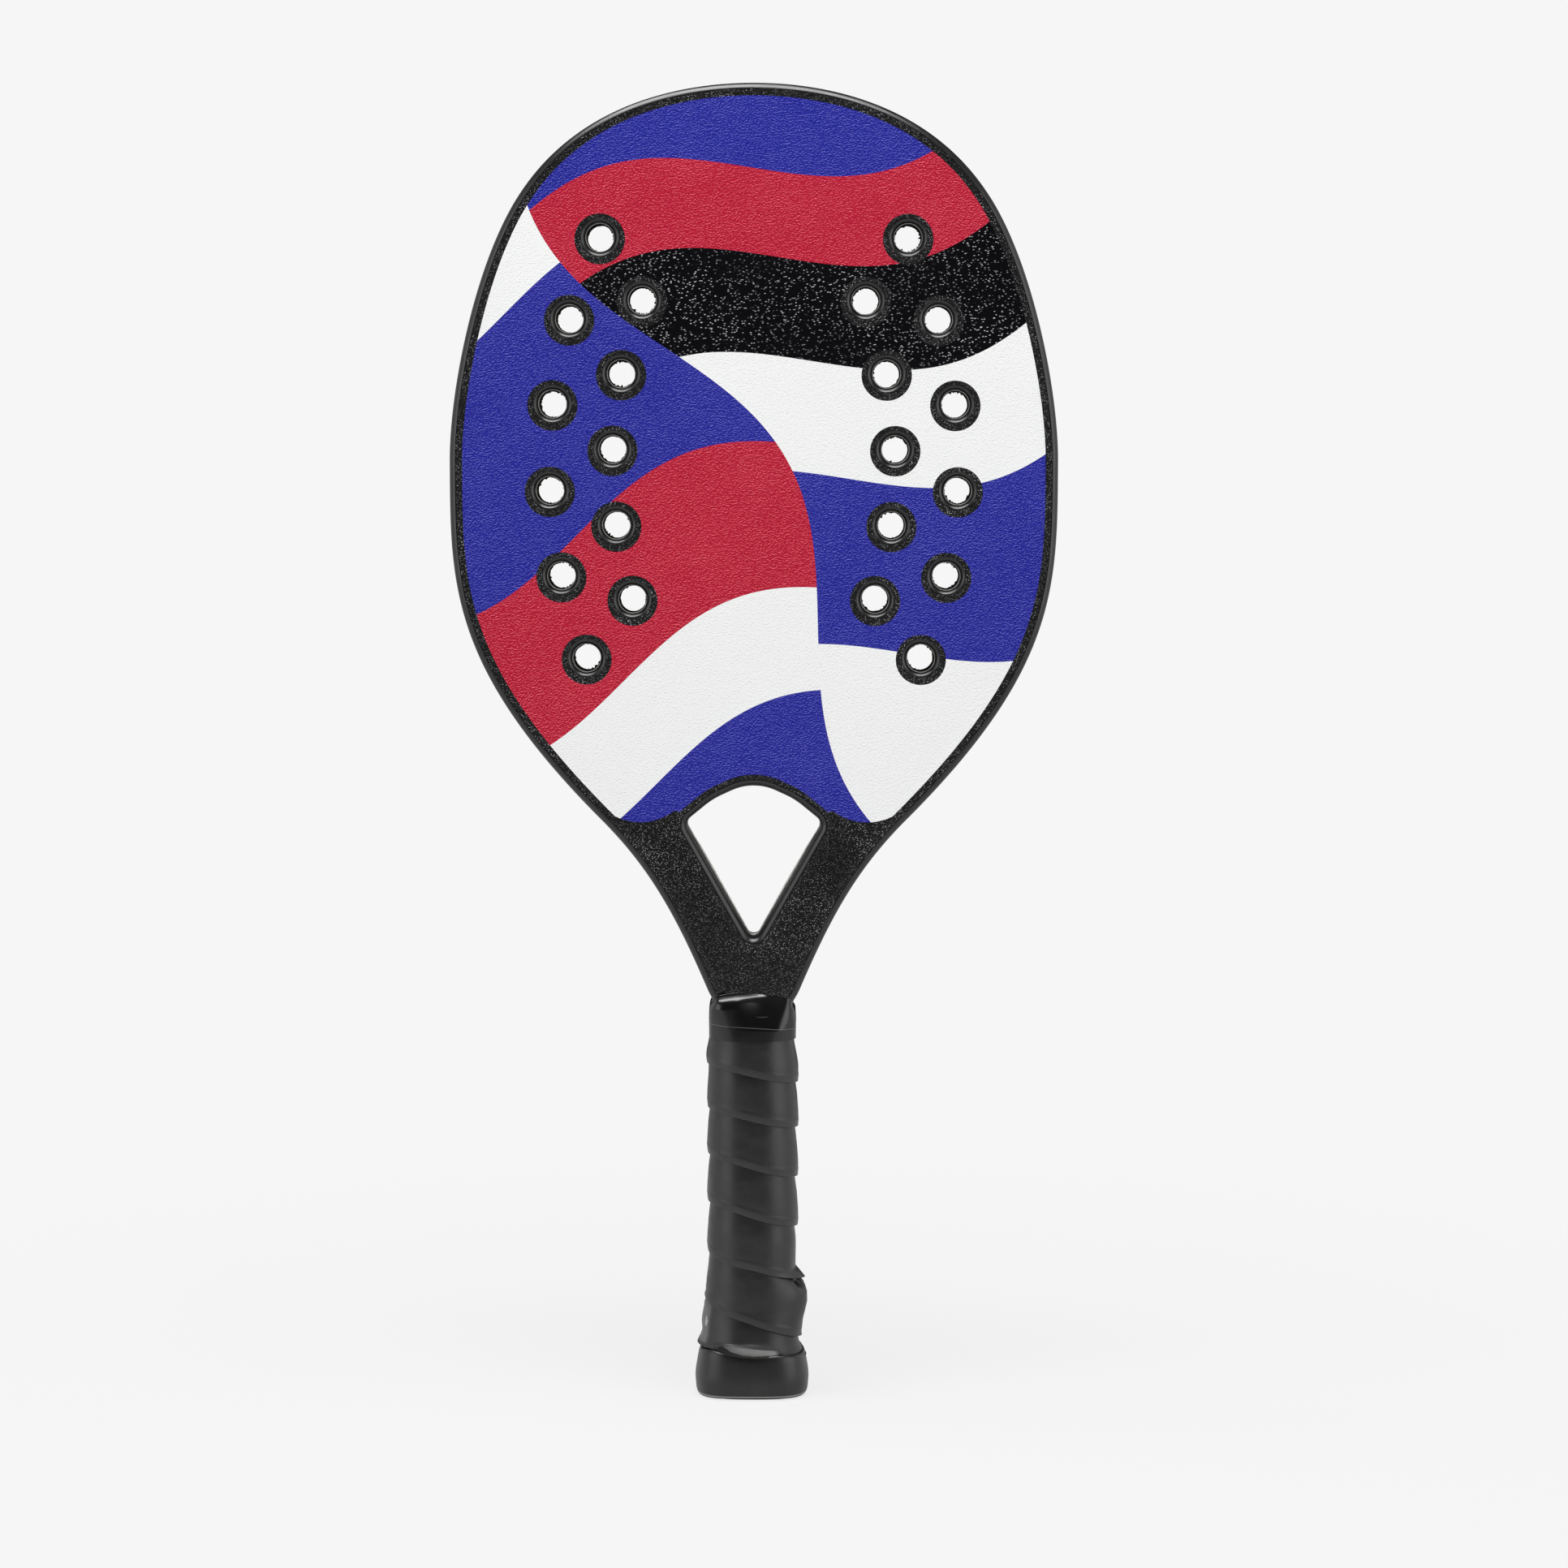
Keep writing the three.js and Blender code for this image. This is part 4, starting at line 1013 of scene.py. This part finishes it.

# Strip: wound upwards, each turn over the upper edge of the one below. Its two faces are
# distances from the tape under it, at shares of the strip's width. The low edge's path is
# listed, so that the first turns climb more across the front than round the back.
strip = {
    "Turns": 7.6, "Width": 25.0, "Foot": 17.0, "Top": 148.0, "Start angle": 58.0,
    "Base": 0.6, "Pressed": 0.55, "Unevenness": 0.16,
}
stripOuter = [
    (0, 2.25), (0.004, 2.42), (0.112, 2.68), (0.122, 2.66), (0.13, 2.6), (0.25, 2.5), (0.5, 2.05),
    (0.752, 1.25), (0.9, 0.9), (1, 0.55),
]
stripInner = [(0, 1.3), (0.08, 1.16), (0.248, 0.72), (0.275, 0.4), (0.34, 0.02), (1, 0)]
stripAcross = [
    0, 0.004, 0.02, 0.045, 0.08, 0.112, 0.122, 0.13, 0.16, 0.2, 0.25, 0.31, 0.38, 0.46, 0.54, 0.62, 0.7,
    0.78, 0.86, 0.95, 1.0,
]
stripSteps, stripSides = 110, 2 * (len(stripAcross) - 1)
# Where the low edge crosses the front: its height at the right and at the left, each half a
# crossing from the middle. The places across it are as (angle, from the middle).
stripCrossings = [
    (1, 13.5), (23.5, 36.5), (46, 54.8), (66.2, 74.4), (85.4, 93), (104.5, 110.8), (121.8, 128),
    (139.5, 146.2),
]
crossingHalf = 14
pathStart, pathEnd = -6, 146.5
crossingPlaces = [(-5, 17.5), (-33, 14), (-60, 8.7), (-90, 0), (-120, -8.7), (-147, -14), (-175, -17.5)]
# How far two turns hang at the left, at angles across the front
stripSag = {1: {-90: -0.9, -120: -2.0, -147: -1.2}, 2: {-90: -0.3, -120: -1.3, -147: -0.7}}
pathTurns, pathFrom, pathHeight = 8, -10, 160  # what the path's curve spans
faceTop = 3.0  # what the faces' curves span
lumpScale, lumpDetail = 0.11, 2.0  # lumps of about 9 mm
rubShare, rubGain = 0.16, 5.0  # how much of its width is rubbed at the low edge, and how strongly


def stripPath():
    path = [(0, pathStart)]
    for k, (right, left) in enumerate(stripCrossings):
        for angle, across in crossingPlaces:
            turned = k + (strip["Start angle"] - angle) / 360
            height = (right + left) / 2 + (right - left) * across / (2 * crossingHalf)
            if turned < strip["Turns"]:
                path.append((turned, height + stripSag.get(k, {}).get(angle, 0)))
    return [*path, (strip["Turns"], pathEnd)]


def addCurve(tree, value, points, top, flowing=False):
    node = addNode(tree, "ShaderNodeFloatCurve", {"Value": value}, out=None)
    curve = node.mapping.curves[0]
    while len(curve.points) < len(points):
        curve.points.new(0.5, 0.5)
    for knot, (x, y) in zip(curve.points, points):
        knot.location = (x, y / top)
        knot.handle_type = "AUTO" if flowing else "VECTOR"
    node.mapping.update()
    return node.outputs[0]


def makeStripTree():
    inputs = [("Geometry", "Geometry"), *[(name, "Float") for name in strip]]
    tree, given = startTree("woundStrip", inputs, "Strip")
    along = round(strip["Turns"] * stripSteps)
    line = addNode(tree, "GeometryNodeCurvePrimitiveLine", {"Start": (0, 0, 0), "End": (1, 0, 0)})
    cut = addNode(tree, "GeometryNodeResampleCurve", {"Curve": line, "Count": along})
    index = addNode(tree, "GeometryNodeInputIndex")
    marked = storeMark(tree, cut, "station", index)
    feeds = {"Resolution": stripSides, "Radius": 0.01}
    ring = addNode(tree, "GeometryNodeCurvePrimitiveCircle", feeds, mode="RADIUS")
    feeds = {"Curve": marked, "Profile Curve": storeMark(tree, ring, "corner", index), "Fill Caps": True}
    tube = addNode(tree, "GeometryNodeCurveToMesh", feeds)
    values = {name: given[name] for name in strip}
    for name in ("station", "corner"):
        values[name] = namedMark(tree, name)
    workOut(tree, values, [
        ("u", "DIVIDE", "station", along - 1.0),
        ("v", "DIVIDE", "corner", float(stripSides)),
        ("turned", "MULTIPLY", "u", "Turns"),
        ("turnShare", "DIVIDE", "turned", float(pathTurns)),
        ("twice", "MULTIPLY", "v", 2.0),
        ("folded", "SUBTRACT", "twice", 1.0),
        ("apart", "ABSOLUTE", "folded"),
        ("even", "SUBTRACT", 1.0, "apart"),
    ])
    pathPoints = [(turned / pathTurns, low - pathFrom) for turned, low in stripPath()]
    values["climb"] = addCurve(tree, values["turnShare"], pathPoints, pathHeight, flowing=True)
    spaced = [(i / (len(stripAcross) - 1), share) for i, share in enumerate(stripAcross)]
    values["crowded"] = addCurve(tree, values["even"], spaced, 1.0)
    workOut(tree, values, [
        ("climbed", "MULTIPLY", "climb", float(pathHeight)),
        ("low", "SUBTRACT", "climbed", float(-pathFrom)),
        ("underFoot", "SUBTRACT", "Foot", "low"),
        ("from", "MAXIMUM", "underFoot", 0.0),
        ("overTop", "SUBTRACT", "Top", "low"),
        ("to", "MINIMUM", "overTop", "Width"),
        ("span", "SUBTRACT", "to", "from"),
        ("across", "MULTIPLY_ADD", "crowded", "span", "from"),
        ("share", "DIVIDE", "across", "Width"),
        ("z", "ADD", "low", "across"),
        ("inside", "GREATER_THAN", "v", 0.5),
        ("flareShare", "DIVIDE", "z", handle["flareHeight"]),
    ])
    values["outer"] = addCurve(tree, values["share"], stripOuter, faceTop)
    values["inner"] = addCurve(tree, values["share"], stripInner, faceTop)
    values["flare"] = addCurve(tree, values["flareShare"], flareShares, 1.0)
    taped = (handle["tapedLow"] - handle["tapedEase"], handle["tapedLow"])
    values["tapedBy"] = remap(tree, values["z"], *taped, smooth=True)
    values["pressedBy"] = remap(tree, values["low"], *taped, 1.0, given["Pressed"], smooth=True)
    workOut(tree, values, [
        ("p", "MULTIPLY_ADD", "inside", handle["power"] - handle["softPower"], handle["softPower"]),
        ("root", "DIVIDE", -1.0, "p"),
        ("faces", "SUBTRACT", "inner", "outer"),
        ("chosen", "MULTIPLY_ADD", "faces", "inside", "outer"),
        ("raised", "MULTIPLY", "chosen", faceTop),
        ("out", "MULTIPLY", "raised", "pressedBy"),
        ("grown", "MULTIPLY_ADD", "flare", handle["flareGrow"], "out"),
        ("drawn", "MULTIPLY_ADD", "tapedBy", -handle["tapedDraw"], "grown"),
        ("grow", "ADD", "drawn", "Base"),
        ("startTurn", "MULTIPLY", "Start angle", math.pi / 180),
        ("angle", "MULTIPLY_ADD", "turned", -2 * math.pi, "startTurn"),
        ("cos", "COSINE", "angle"),
        ("sin", "SINE", "angle"),
        ("cosSize", "ABSOLUTE", "cos"),
        ("sinSize", "ABSOLUTE", "sin"),
        ("wide", "ADD", "grow", handle["halfWidth"]),
        ("deep", "ADD", "grow", handle["halfDepth"]),
        ("slanted", "ADD", "grow", handle["diagonal"]),
        ("cosPart", "MULTIPLY", "cosSize", handle["diagonalX"]),
        ("sinPart", "MULTIPLY", "sinSize", handle["diagonalY"]),
        ("diagonal", "ADD", "cosPart", "sinPart"),
        ("a", "DIVIDE", "cosSize", "wide"),
        ("b", "DIVIDE", "sinSize", "deep"),
        ("c", "DIVIDE", "diagonal", "slanted"),
        ("aPower", "POWER", "a", "p"),
        ("bPower", "POWER", "b", "p"),
        ("cPower", "POWER", "c", "p"),
        ("abPower", "ADD", "aPower", "bPower"),
        ("sum", "ADD", "abPower", "cPower"),
        ("radius", "POWER", "sum", "root"),
        ("xSmooth", "MULTIPLY", "radius", "cos"),
        ("ySmooth", "MULTIPLY", "radius", "sin"),
    ])
    feeds = {0: values["xSmooth"], 1: values["ySmooth"], 2: values["z"]}
    plain = addNode(tree, "ShaderNodeCombineXYZ", feeds)
    values["lumps"] = addNoise(tree, plain, lumpScale, lumpDetail)
    workOut(tree, values, [
        ("lump", "SUBTRACT", "lumps", 0.5),
        ("outsideOnly", "SUBTRACT", 1.0, "inside"),
        ("lumpOut", "MULTIPLY", "lump", "outsideOnly"),
        ("uneven", "MULTIPLY", "lumpOut", "Unevenness"),
        ("shift", "MULTIPLY", "uneven", 2.0),
        ("final", "ADD", "radius", "shift"),
        ("thick", "MULTIPLY", "faces", -faceTop),
        ("thickInside", "MULTIPLY", "thick", "inside"),
        ("x", "MULTIPLY", "final", "cos"),
        ("y", "MULTIPLY", "final", "sin"),
        ("rubEdge", "SUBTRACT", rubShare, "share"),
        ("rubScaled", "MULTIPLY", "rubEdge", rubGain),
        ("rub", "MAXIMUM", "rubScaled", 0.0),
    ])
    place = addNode(tree, "ShaderNodeCombineXYZ", {0: values["x"], 1: values["y"], 2: values["z"]})
    for name, value in (("rub", "rub"), ("turned", "turned"), ("inner", "thickInside")):
        tube = storeMark(tree, tube, name, values[value])
    moved = addNode(tree, "GeometryNodeSetPosition", {"Geometry": tube, "Position": scaled(tree, place, mm)})
    real = addNode(tree, "GeometryNodeRealizeInstances", {"Geometry": moved})
    painted = addNode(tree, "GeometryNodeSetMaterial", {"Geometry": real, "Material": wrapSkin})
    addNode(tree, "NodeGroupOutput", {0: painted}, out=None)
    return tree


wrapStrip = applyTree(pointPiece("wrapStrip", [(0, 0)]), makeStripTree(), strip, 42)

# What the hands and the winding did to it: places round the handle (0 is right, -90 front)
# where it stands off, as (height, how far) for each.
standOff = [
    {"angle": -8, "spread": 36, "levels": [
        (14.5, 4.4), (15.5, 4.0), (16.5, 3.0), (18, 1.2), (20, 0.3), (23.5, 0), (28.7, 1.5), (32, 3.0),
        (35.4, 4.3), (40, 4.8), (44.3, 3.4), (48.8, -1.2), (55, -0.6), (61, 0),
    ]},
    {"angle": 183, "spread": 34, "levels": [
        (17, 1.8), (19.7, 1.6), (24.2, 1.0), (28.7, 2.2), (35.4, 2.5), (39.8, 0.5), (46, 0.2), (50, 0),
        (124, 0), (129, 0.5), (133.4, 0.9), (137.5, 0.4), (141, 0),
    ]},
]
# A dent under the edge of the strip's second turn, and the edge raised over it.
pucker = {
    "angle": -20, "turn": 1.7, "sunk": 4.2, "level": 44.0, "height": 1.7, "spread": 6,
    "lifted": 0.4, "aside": 8, "edge": 46.5, "edgeHeight": 2.5, "edgeSpread": 14,
}
# The paler flap at the left, in degrees round the handle from its right, with a scuffed spot.
wornFlap = {
    "from": 176, "to": 209, "low": 19, "high": 37.5, "easeRound": 2, "easeUp": 1.5,
    "scuffAt": 202, "scuffLevel": 28.5, "scuffSpread": (4.5, 2.6),
}
# The cut foot's height at angles round the handle.
stripFoot = [
    (-180, 19.4), (-168, 19.5), (-150, 19.0), (-146, 19.2), (-133, 20.6), (-118, 20.9), (-90, 20.1),
    (-60, 19.1), (-55, 17.6), (-40, 16.2), (-25, 15.2), (-10, 14.7), (5, 15.0), (20, 17.2), (60, 16.6),
    (120, 17.3), (160, 16.9), (180, 19.5),
]
footThinned = 0.45  # the share of its thickness that the strip loses at its cut foot
thinnedReach, footReach = 4, 5  # how far above the foot each reaches
leftBy = 0.35  # the whole winding sits a little to the left of the handle's middle


def tableAt(value, table, **outside):
    return float(np.interp(value, *zip(*table), **outside))


def between(value, low, high):
    return float(np.clip((value - low) / (high - low), 0, 1))


def eased(value, low, high):
    share = between(value, low, high)
    return share * share * (3 - 2 * share)


def bell(*parts):
    return math.exp(-sum((away / spread) ** 2 for away, spread in parts))


def settleStrip(mesh):
    turned, inner = np.zeros(len(mesh.vertices)), np.zeros(len(mesh.vertices))
    mesh.attributes["turned"].data.foreach_get("value", turned)
    mesh.attributes["inner"].data.foreach_get("value", inner)
    worn, scuffed = [mesh.attributes.new(name, "FLOAT", "POINT") for name in ("worn", "scuffed")]
    flap = wornFlap
    for vertex, turns, within in zip(mesh.vertices, turned, inner):
        x, y, z = vertex.co / mm
        angle, reach, up = math.degrees(math.atan2(y, x)), math.hypot(x, y), z - strip["Foot"]
        push = 0.0
        for place in standOff:
            away = (angle - place["angle"] + 180) % 360 - 180
            push += tableAt(z, place["levels"], left=0, right=0) * bell((away, place["spread"]))
        aside = angle - pucker["angle"]
        if turns > pucker["turn"]:
            edge = (aside - pucker["aside"], pucker["edgeSpread"]), (z - pucker["edge"], pucker["edgeHeight"])
            push += pucker["lifted"] * bell(*edge)
        else:
            push -= pucker["sunk"] * bell((aside, pucker["spread"]), (z - pucker["level"], pucker["height"]))
        push += within * footThinned * float(np.clip(1 - up / thinnedReach, 0, 1))
        rearward = angle % 360
        inFlap = np.clip(min(rearward - flap["from"], flap["to"] - rearward) / flap["easeRound"], 0, 1)
        upFlap = np.clip(min(z - flap["low"], flap["high"] - z) / flap["easeUp"], 0, 1)
        worn.data[vertex.index].value = inFlap * upFlap
        away = (rearward - flap["scuffAt"], z - flap["scuffLevel"])
        scuffed.data[vertex.index].value = bell(*zip(away, flap["scuffSpread"]))
        z += (tableAt(angle, stripFoot) - strip["Foot"]) * max(0.0, 1 - up / footReach)
        grow = 1 + push / reach
        vertex.co = (x * grow * mm - leftBy * mm, y * grow * mm, z * mm)


settleStrip(wrapStrip.data)
tidyMesh(wrapStrip.data, 42)
print("strip ready", len(wrapStrip.data.polygons), "faces")


# How far the octagon of these sizes reaches in a direction, given by its cosine and sine.
def octagonReach(c, s, halfWidth, halfDepth, diagonal, power):
    across = abs(c) * handle["diagonalX"] + abs(s) * handle["diagonalY"]
    parts = (abs(c) / halfWidth, abs(s) / halfDepth, across / diagonal)
    return sum(part**power for part in parts) ** (-1 / power)


def octagonRing(sizes, power, count, level):
    ring = []
    for k in range(count):
        angle = 2 * math.pi * (k + 0.5) / count
        c, s = math.cos(angle), math.sin(angle)
        radius = octagonReach(c, s, *sizes, power)
        ring.append((radius * c, radius * s, level))
    return ring


# A ring that stands off the handle, with its flare.
def handleRing(level, out, count):
    grow = handle["flareGrow"] * tableAt(level / handle["flareHeight"], flareShares) + out
    sizes = [handle[name] + grow for name in ("halfWidth", "halfDepth", "diagonal")]
    return octagonRing(sizes, handle["power"], count, level)


def skinRings(name, rings, material, closed=False, crisp=40):
    shape = Shape()
    rows = [shape.ring(ring) for ring in rings]
    for one, other in zip(rows, rows[1:]):
        shape.bridge(one, other)
    if closed:
        shape.bridge(rows[-1], rows[0])
    else:
        shape.faces += [tuple(rows[0]), tuple(rows[-1])]
        shape.kinds += [0, 0]
    return makePiece(name, shape.points, shape.faces, [material], crisp=crisp)


# The start tape under the strip's first turn, pressed in under the cap's rim.
startTapeSize = {
    "low": 15.6, "high": 21.6, "in": 0.12, "out": 0.46, "tucked": 0.26, "capTop": 16.6,
    "rows": 7, "count": 120,
}


def makeStartTape():
    size = startTapeSize
    levels = np.linspace(size["low"], size["high"], size["rows"])
    outs = [size["out"] if level > size["capTop"] else size["tucked"] for level in levels]
    outside = [handleRing(level, out, size["count"]) for level, out in zip(levels, outs)]
    inside = [handleRing(level, size["in"], size["count"]) for level in levels[::-1]]
    return skinRings("startTape", [*outside, *inside], tapeCloth, closed=True)


startTape = makeStartTape()


# Finishing tape: from over the strip's last turn, in over a soft shoulder to the flat arms.
finish = {
    "low": 138.5, "top": 156.2, "thickness": 0.35, "rows": 90, "crowding": 1.25, "count": 320,
    "power": 20.0, "leftBy": 0.45, "depth": 15.1, "armDepth": 10.15, "armGap": 0.05,
    "armCorner": 1.9, "armsBelow": 170, "closesFrom": 0.8, "passes": 4,
    # its upper edge leans, bows and dips at the sides, between these distances from the middle
    "lean": 0.083, "bow": 0.0035, "sideDip": 3.4, "sides": (13.0, 16.5),
    "lap": 0.012, "lapEase": 0.35,
    "width": [(138, 16.6), (147, 16.7), (156.2, 16.4)],
    # half the width of the flat front
    "facet": [(138.5, 9.6), (144, 11.0), (150, 12.9), (153.7, 14.0), (156.2, 14.8)],
    # the front rolls back to the arms, at the left tightly and at the right as a long slope
    "roll": 5.0, "rollFrom": (149.5, 150.96), "rollBetween": (-16, -5), "rollTo": 72, "behindAs": -12.0,
    "slopeFrom": 142.5, "slopePower": 1.4, "slopeBetween": (-8, 7),
}
armEdge = outline[(outline[:, 0] > 0) & (outline[:, 1] < finish["armsBelow"])]
armEdge = armEdge[np.argsort(armEdge[:, 1])]


# How far from the middle the film's face lies.
def filmDepth(x, y, level):
    if y > 0:
        x = finish["behindAs"]
    first, last = finish["rollFrom"]
    start = first + (last - first) * eased(x, *finish["rollBetween"])
    sloping = eased(x, *finish["slopeBetween"])
    radius, end = finish["roll"], math.radians(finish["rollTo"])
    above = max(0.0, level - start)
    if above < radius * math.sin(end):
        rolled = radius - math.sqrt(radius**2 - above**2)
    else:
        rolled = radius * (1 - math.cos(end)) + (above - radius * math.sin(end)) * math.tan(end)
    drop = finish["depth"] - finish["armDepth"]
    sloped = drop * between(level, finish["slopeFrom"], finish["top"]) ** finish["slopePower"]
    return finish["depth"] - min(drop, (1 - sloping) * min(rolled, drop) + sloping * sloped)


# One ring is the octagon again, at the depth and width that hold where its points lie.
def filmRing(share):
    power = finish["power"]
    level = finish["low"] + (finish["top"] - finish["low"]) * share
    width, facet = [tableAt(level, finish[name]) for name in ("width", "facet")]
    closing = 1 - math.sqrt(1 - between(share, finish["closesFrom"], 1) ** 2)
    ring = []
    first = (width, finish["depth"], facet * handle["diagonalX"] + finish["depth"] * handle["diagonalY"])
    for x, y, _ in octagonRing(first, power, finish["count"], 0):
        c, s = x / math.hypot(x, y), y / math.hypot(x, y)
        for _ in range(finish["passes"]):
            side = eased(abs(x), *finish["sides"])
            z = level - (finish["lean"] * x + finish["bow"] * x * x + finish["sideDip"] * side) * share**2
            deep = filmDepth(x, y, level)
            arm = min(float(np.interp(z, armEdge[:, 1], armEdge[:, 0])) + finish["armGap"], width)
            wide = width + (arm - width) * closing
            corner = facet + (min(facet, arm - finish["armCorner"]) - facet) * closing
            diagonal = corner * handle["diagonalX"] + deep * handle["diagonalY"]
            radius = octagonReach(c, s, wide, deep, diagonal, power)
            x, y = radius * c, radius * s
        lapEdge = (filmLook["lapLow"] + filmLook["lapSlant"] * x - z) / finish["lapEase"]
        lap = 1 + finish["lap"] / radius * float(np.clip(lapEdge + 0.5, 0, 1))
        ring.append((x * lap - finish["leftBy"] * (1 - closing), y * lap, z))
    return ring


def makeFinishTape():
    rows = finish["rows"]
    rings = [filmRing(1 - (1 - row / rows) ** finish["crowding"]) for row in range(rows + 1)]
    inside = []
    for ring in reversed(rings):
        thinner = [1 - finish["thickness"] / math.hypot(x, y) for x, y, _ in ring]
        inside.append([(x * share, y * share, z) for (x, y, z), share in zip(ring, thinner)])
    return skinRings("finishTape", [*rings, *inside], glossyTape, closed=True, crisp=50)


finishTape = makeFinishTape()

# Butt cap: a soft rounded octagon, open at the top for the handle, over its own end plate.
cap = {
    "sizes": (22.0, 19.0, 24.1), "well": (18.9, 16.3, 20.7), "power": 8.0, "count": 200,
    "low": 0.7, "top": 16.5, "leftBy": 0.6, "wellTop": 1.9, "floorTop": 3.0, "rimIn": 0.35, "lipIn": 0.1,
    "wallGap": 0.3, "wallLevels": (12.0, 8.0, 4.0),
    # shares of its sizes at shares of its height; the corners give way less near the foot
    "profile": [
        (0, 0.945), (0.004, 0.958), (0.015, 0.968), (0.035, 0.976), (0.07, 0.983), (0.12, 0.988),
        (0.2, 0.993), (0.28, 0.997), (0.36, 1.0), (0.48, 0.995), (0.6, 0.983), (0.72, 0.967),
        (0.84, 0.951), (0.92, 0.937), (0.965, 0.923), (0.99, 0.905), (1.0, 0.885),
    ],
    "cornerBelow": 6.0, "cornerEase": 0.35,
    # the rim's rise at angles round it: it is pushed up at the left of the front
    "rise": [
        (-180, 0.9), (-150, 2.2), (-137, 2.4), (-125, 1.7), (-108, 0.9), (-90, 0.4), (-60, 0.8),
        (-30, 0.3), (0, 0.2), (90, 0), (180, 0.9),
    ],
    "riseFrom": 11.0,
}


def capRing(share, level):
    cornered = 1 + (share - 1) * cap["cornerEase"] if level < cap["cornerBelow"] else share
    sizes = [size * by for size, by in zip(cap["sizes"], (share, share, cornered))]
    return octagonRing(sizes, cap["power"], cap["count"], level)


def riseRing(ring, leftBy=0):
    risen = []
    for x, y, z in ring:
        rise = tableAt(math.degrees(math.atan2(y, x)), cap["rise"])
        risen.append((x - leftBy, y, z + rise * between(z, cap["riseFrom"], cap["top"])))
    return risen


def makeCap():
    low, top = cap["low"], cap["top"]
    rings = []
    for level in (cap["wellTop"], low + cap["lipIn"]):
        rings.append(octagonRing(cap["well"], cap["power"], cap["count"], level))
    rings += [riseRing(capRing(share, low + up * (top - low)), cap["leftBy"]) for up, share in cap["profile"]]
    for level in (top - cap["rimIn"], *cap["wallLevels"], cap["floorTop"]):
        rings.append(riseRing(handleRing(level, cap["wallGap"], cap["count"])))
    return skinRings("buttCap", rings, capRubber, crisp=50)


# The end plate's levels, each with how far inside the cap's well it stays.
plate = {
    "stations": [(0.0, 0.6), (0.06, 0.35), (0.25, 0.12), (0.6, 0.05), (0.78, 0.15), (0.85, 0.4), (1.6, 0.4)],
    "count": 160,
}


def makeEndPlate():
    rings = []
    for level, inwards in plate["stations"]:
        sizes = [size - inwards for size in cap["well"]]
        rings.append(octagonRing(sizes, cap["power"], plate["count"], level))
    return skinRings("endPlate", rings, plateRubber, crisp=50)


buttCap = makeCap()
endPlate = makeEndPlate()


# The corner of the strip's end, folded down over the cap at the left.
tongue = {
    "outline": [
        (-13.9, 20.7), (-12.0, 21.3), (-10.2, 20.2), (-8.4, 18.9), (-4.5, 17.7), (0.5, 17.2),
        (6.0, 17.4), (6.0, 17.1), (0.5, 16.7), (-4.5, 16.9), (-8.5, 17.5), (-12.0, 18.5), (-14.2, 19.6),
    ],
    "corner": 0.12, "cornerSteps": 3, "step": 0.8, "standTop": 17.3, "leans": 1.0, "bend": 0.8,
    "front": 0.55, "back": 0.35,
}


def makeTongue():
    shape = Shape()
    rounded = roundLoop([(x, z, tongue["corner"]) for x, z in tongue["outline"]], tongue["cornerSteps"])
    flat = evenLoop(rounded, tongue["step"])
    low, high = flat[:, 1].min(), flat[:, 1].max()
    down = np.clip((high - flat[:, 1]) / (high - low), 0, 1)
    stand = tongue["standTop"] + tongue["leans"] * down ** tongue["bend"]
    front, back = shape.loop(flat, -stand - tongue["front"]), shape.loop(flat, -stand + tongue["back"])
    shape.bridge(front, back)
    shape.fill([front])
    shape.fill([back])
    return makePiece("foldedTongue", shape.points, shape.faces, [wrapSkin])


foldedTongue = makeTongue()
print("handle ready")

floorMesh = bpy.data.meshes.new("studioFloor")
reach = studio["floorReach"]
floorCorners = [(x * reach, y * reach, 0) for x, y in ((-1, -1), (1, -1), (1, 1), (-1, 1))]
floorMesh.from_pydata(floorCorners, [], [(0, 1, 2, 3)])
floorMesh.materials.append(floorPaint)
studioFloor = bpy.data.objects.new("studioFloor", floorMesh)
scene.collection.objects.link(studioFloor)

for node in ("handle_pallet_front", "handle_pallet_rear"):
    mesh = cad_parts[node].data
    mesh.materials.clear()
    mesh.materials.append(handleFoam)

replaced = [
    (mouldedFrame, "frame_lacquer", ["frame_tube", "throat_bridge"]),
    (holeLinings, "frame_lacquer", []),
    (holeFray, "frame_lacquer", []),
    (frontFace, "printed_face", ["front_face_sheet"]),
    (rearFace, "printed_face", ["rear_face_sheet"]),
    (foamCore, "foam_core", ["eva_core"]),
    (wrapStrip, "grip_strip", ["base_grip"]),
    (foldedTongue, "grip_strip", []),
    (startTape, "start_tape", ["grip_start_tape"]),
    (finishTape, "finishing_film", ["finishing_tape"]),
    (buttCap, "cap_rubber", ["butt_cap"]),
    (endPlate, "cap_rubber", ["butt_end_plate"]),
]
for piece, slotName, nodes in replaced:
    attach(piece, "root")
    if nodes:
        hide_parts(*nodes)
    print(piece.name, len(piece.data.polygons), "faces")
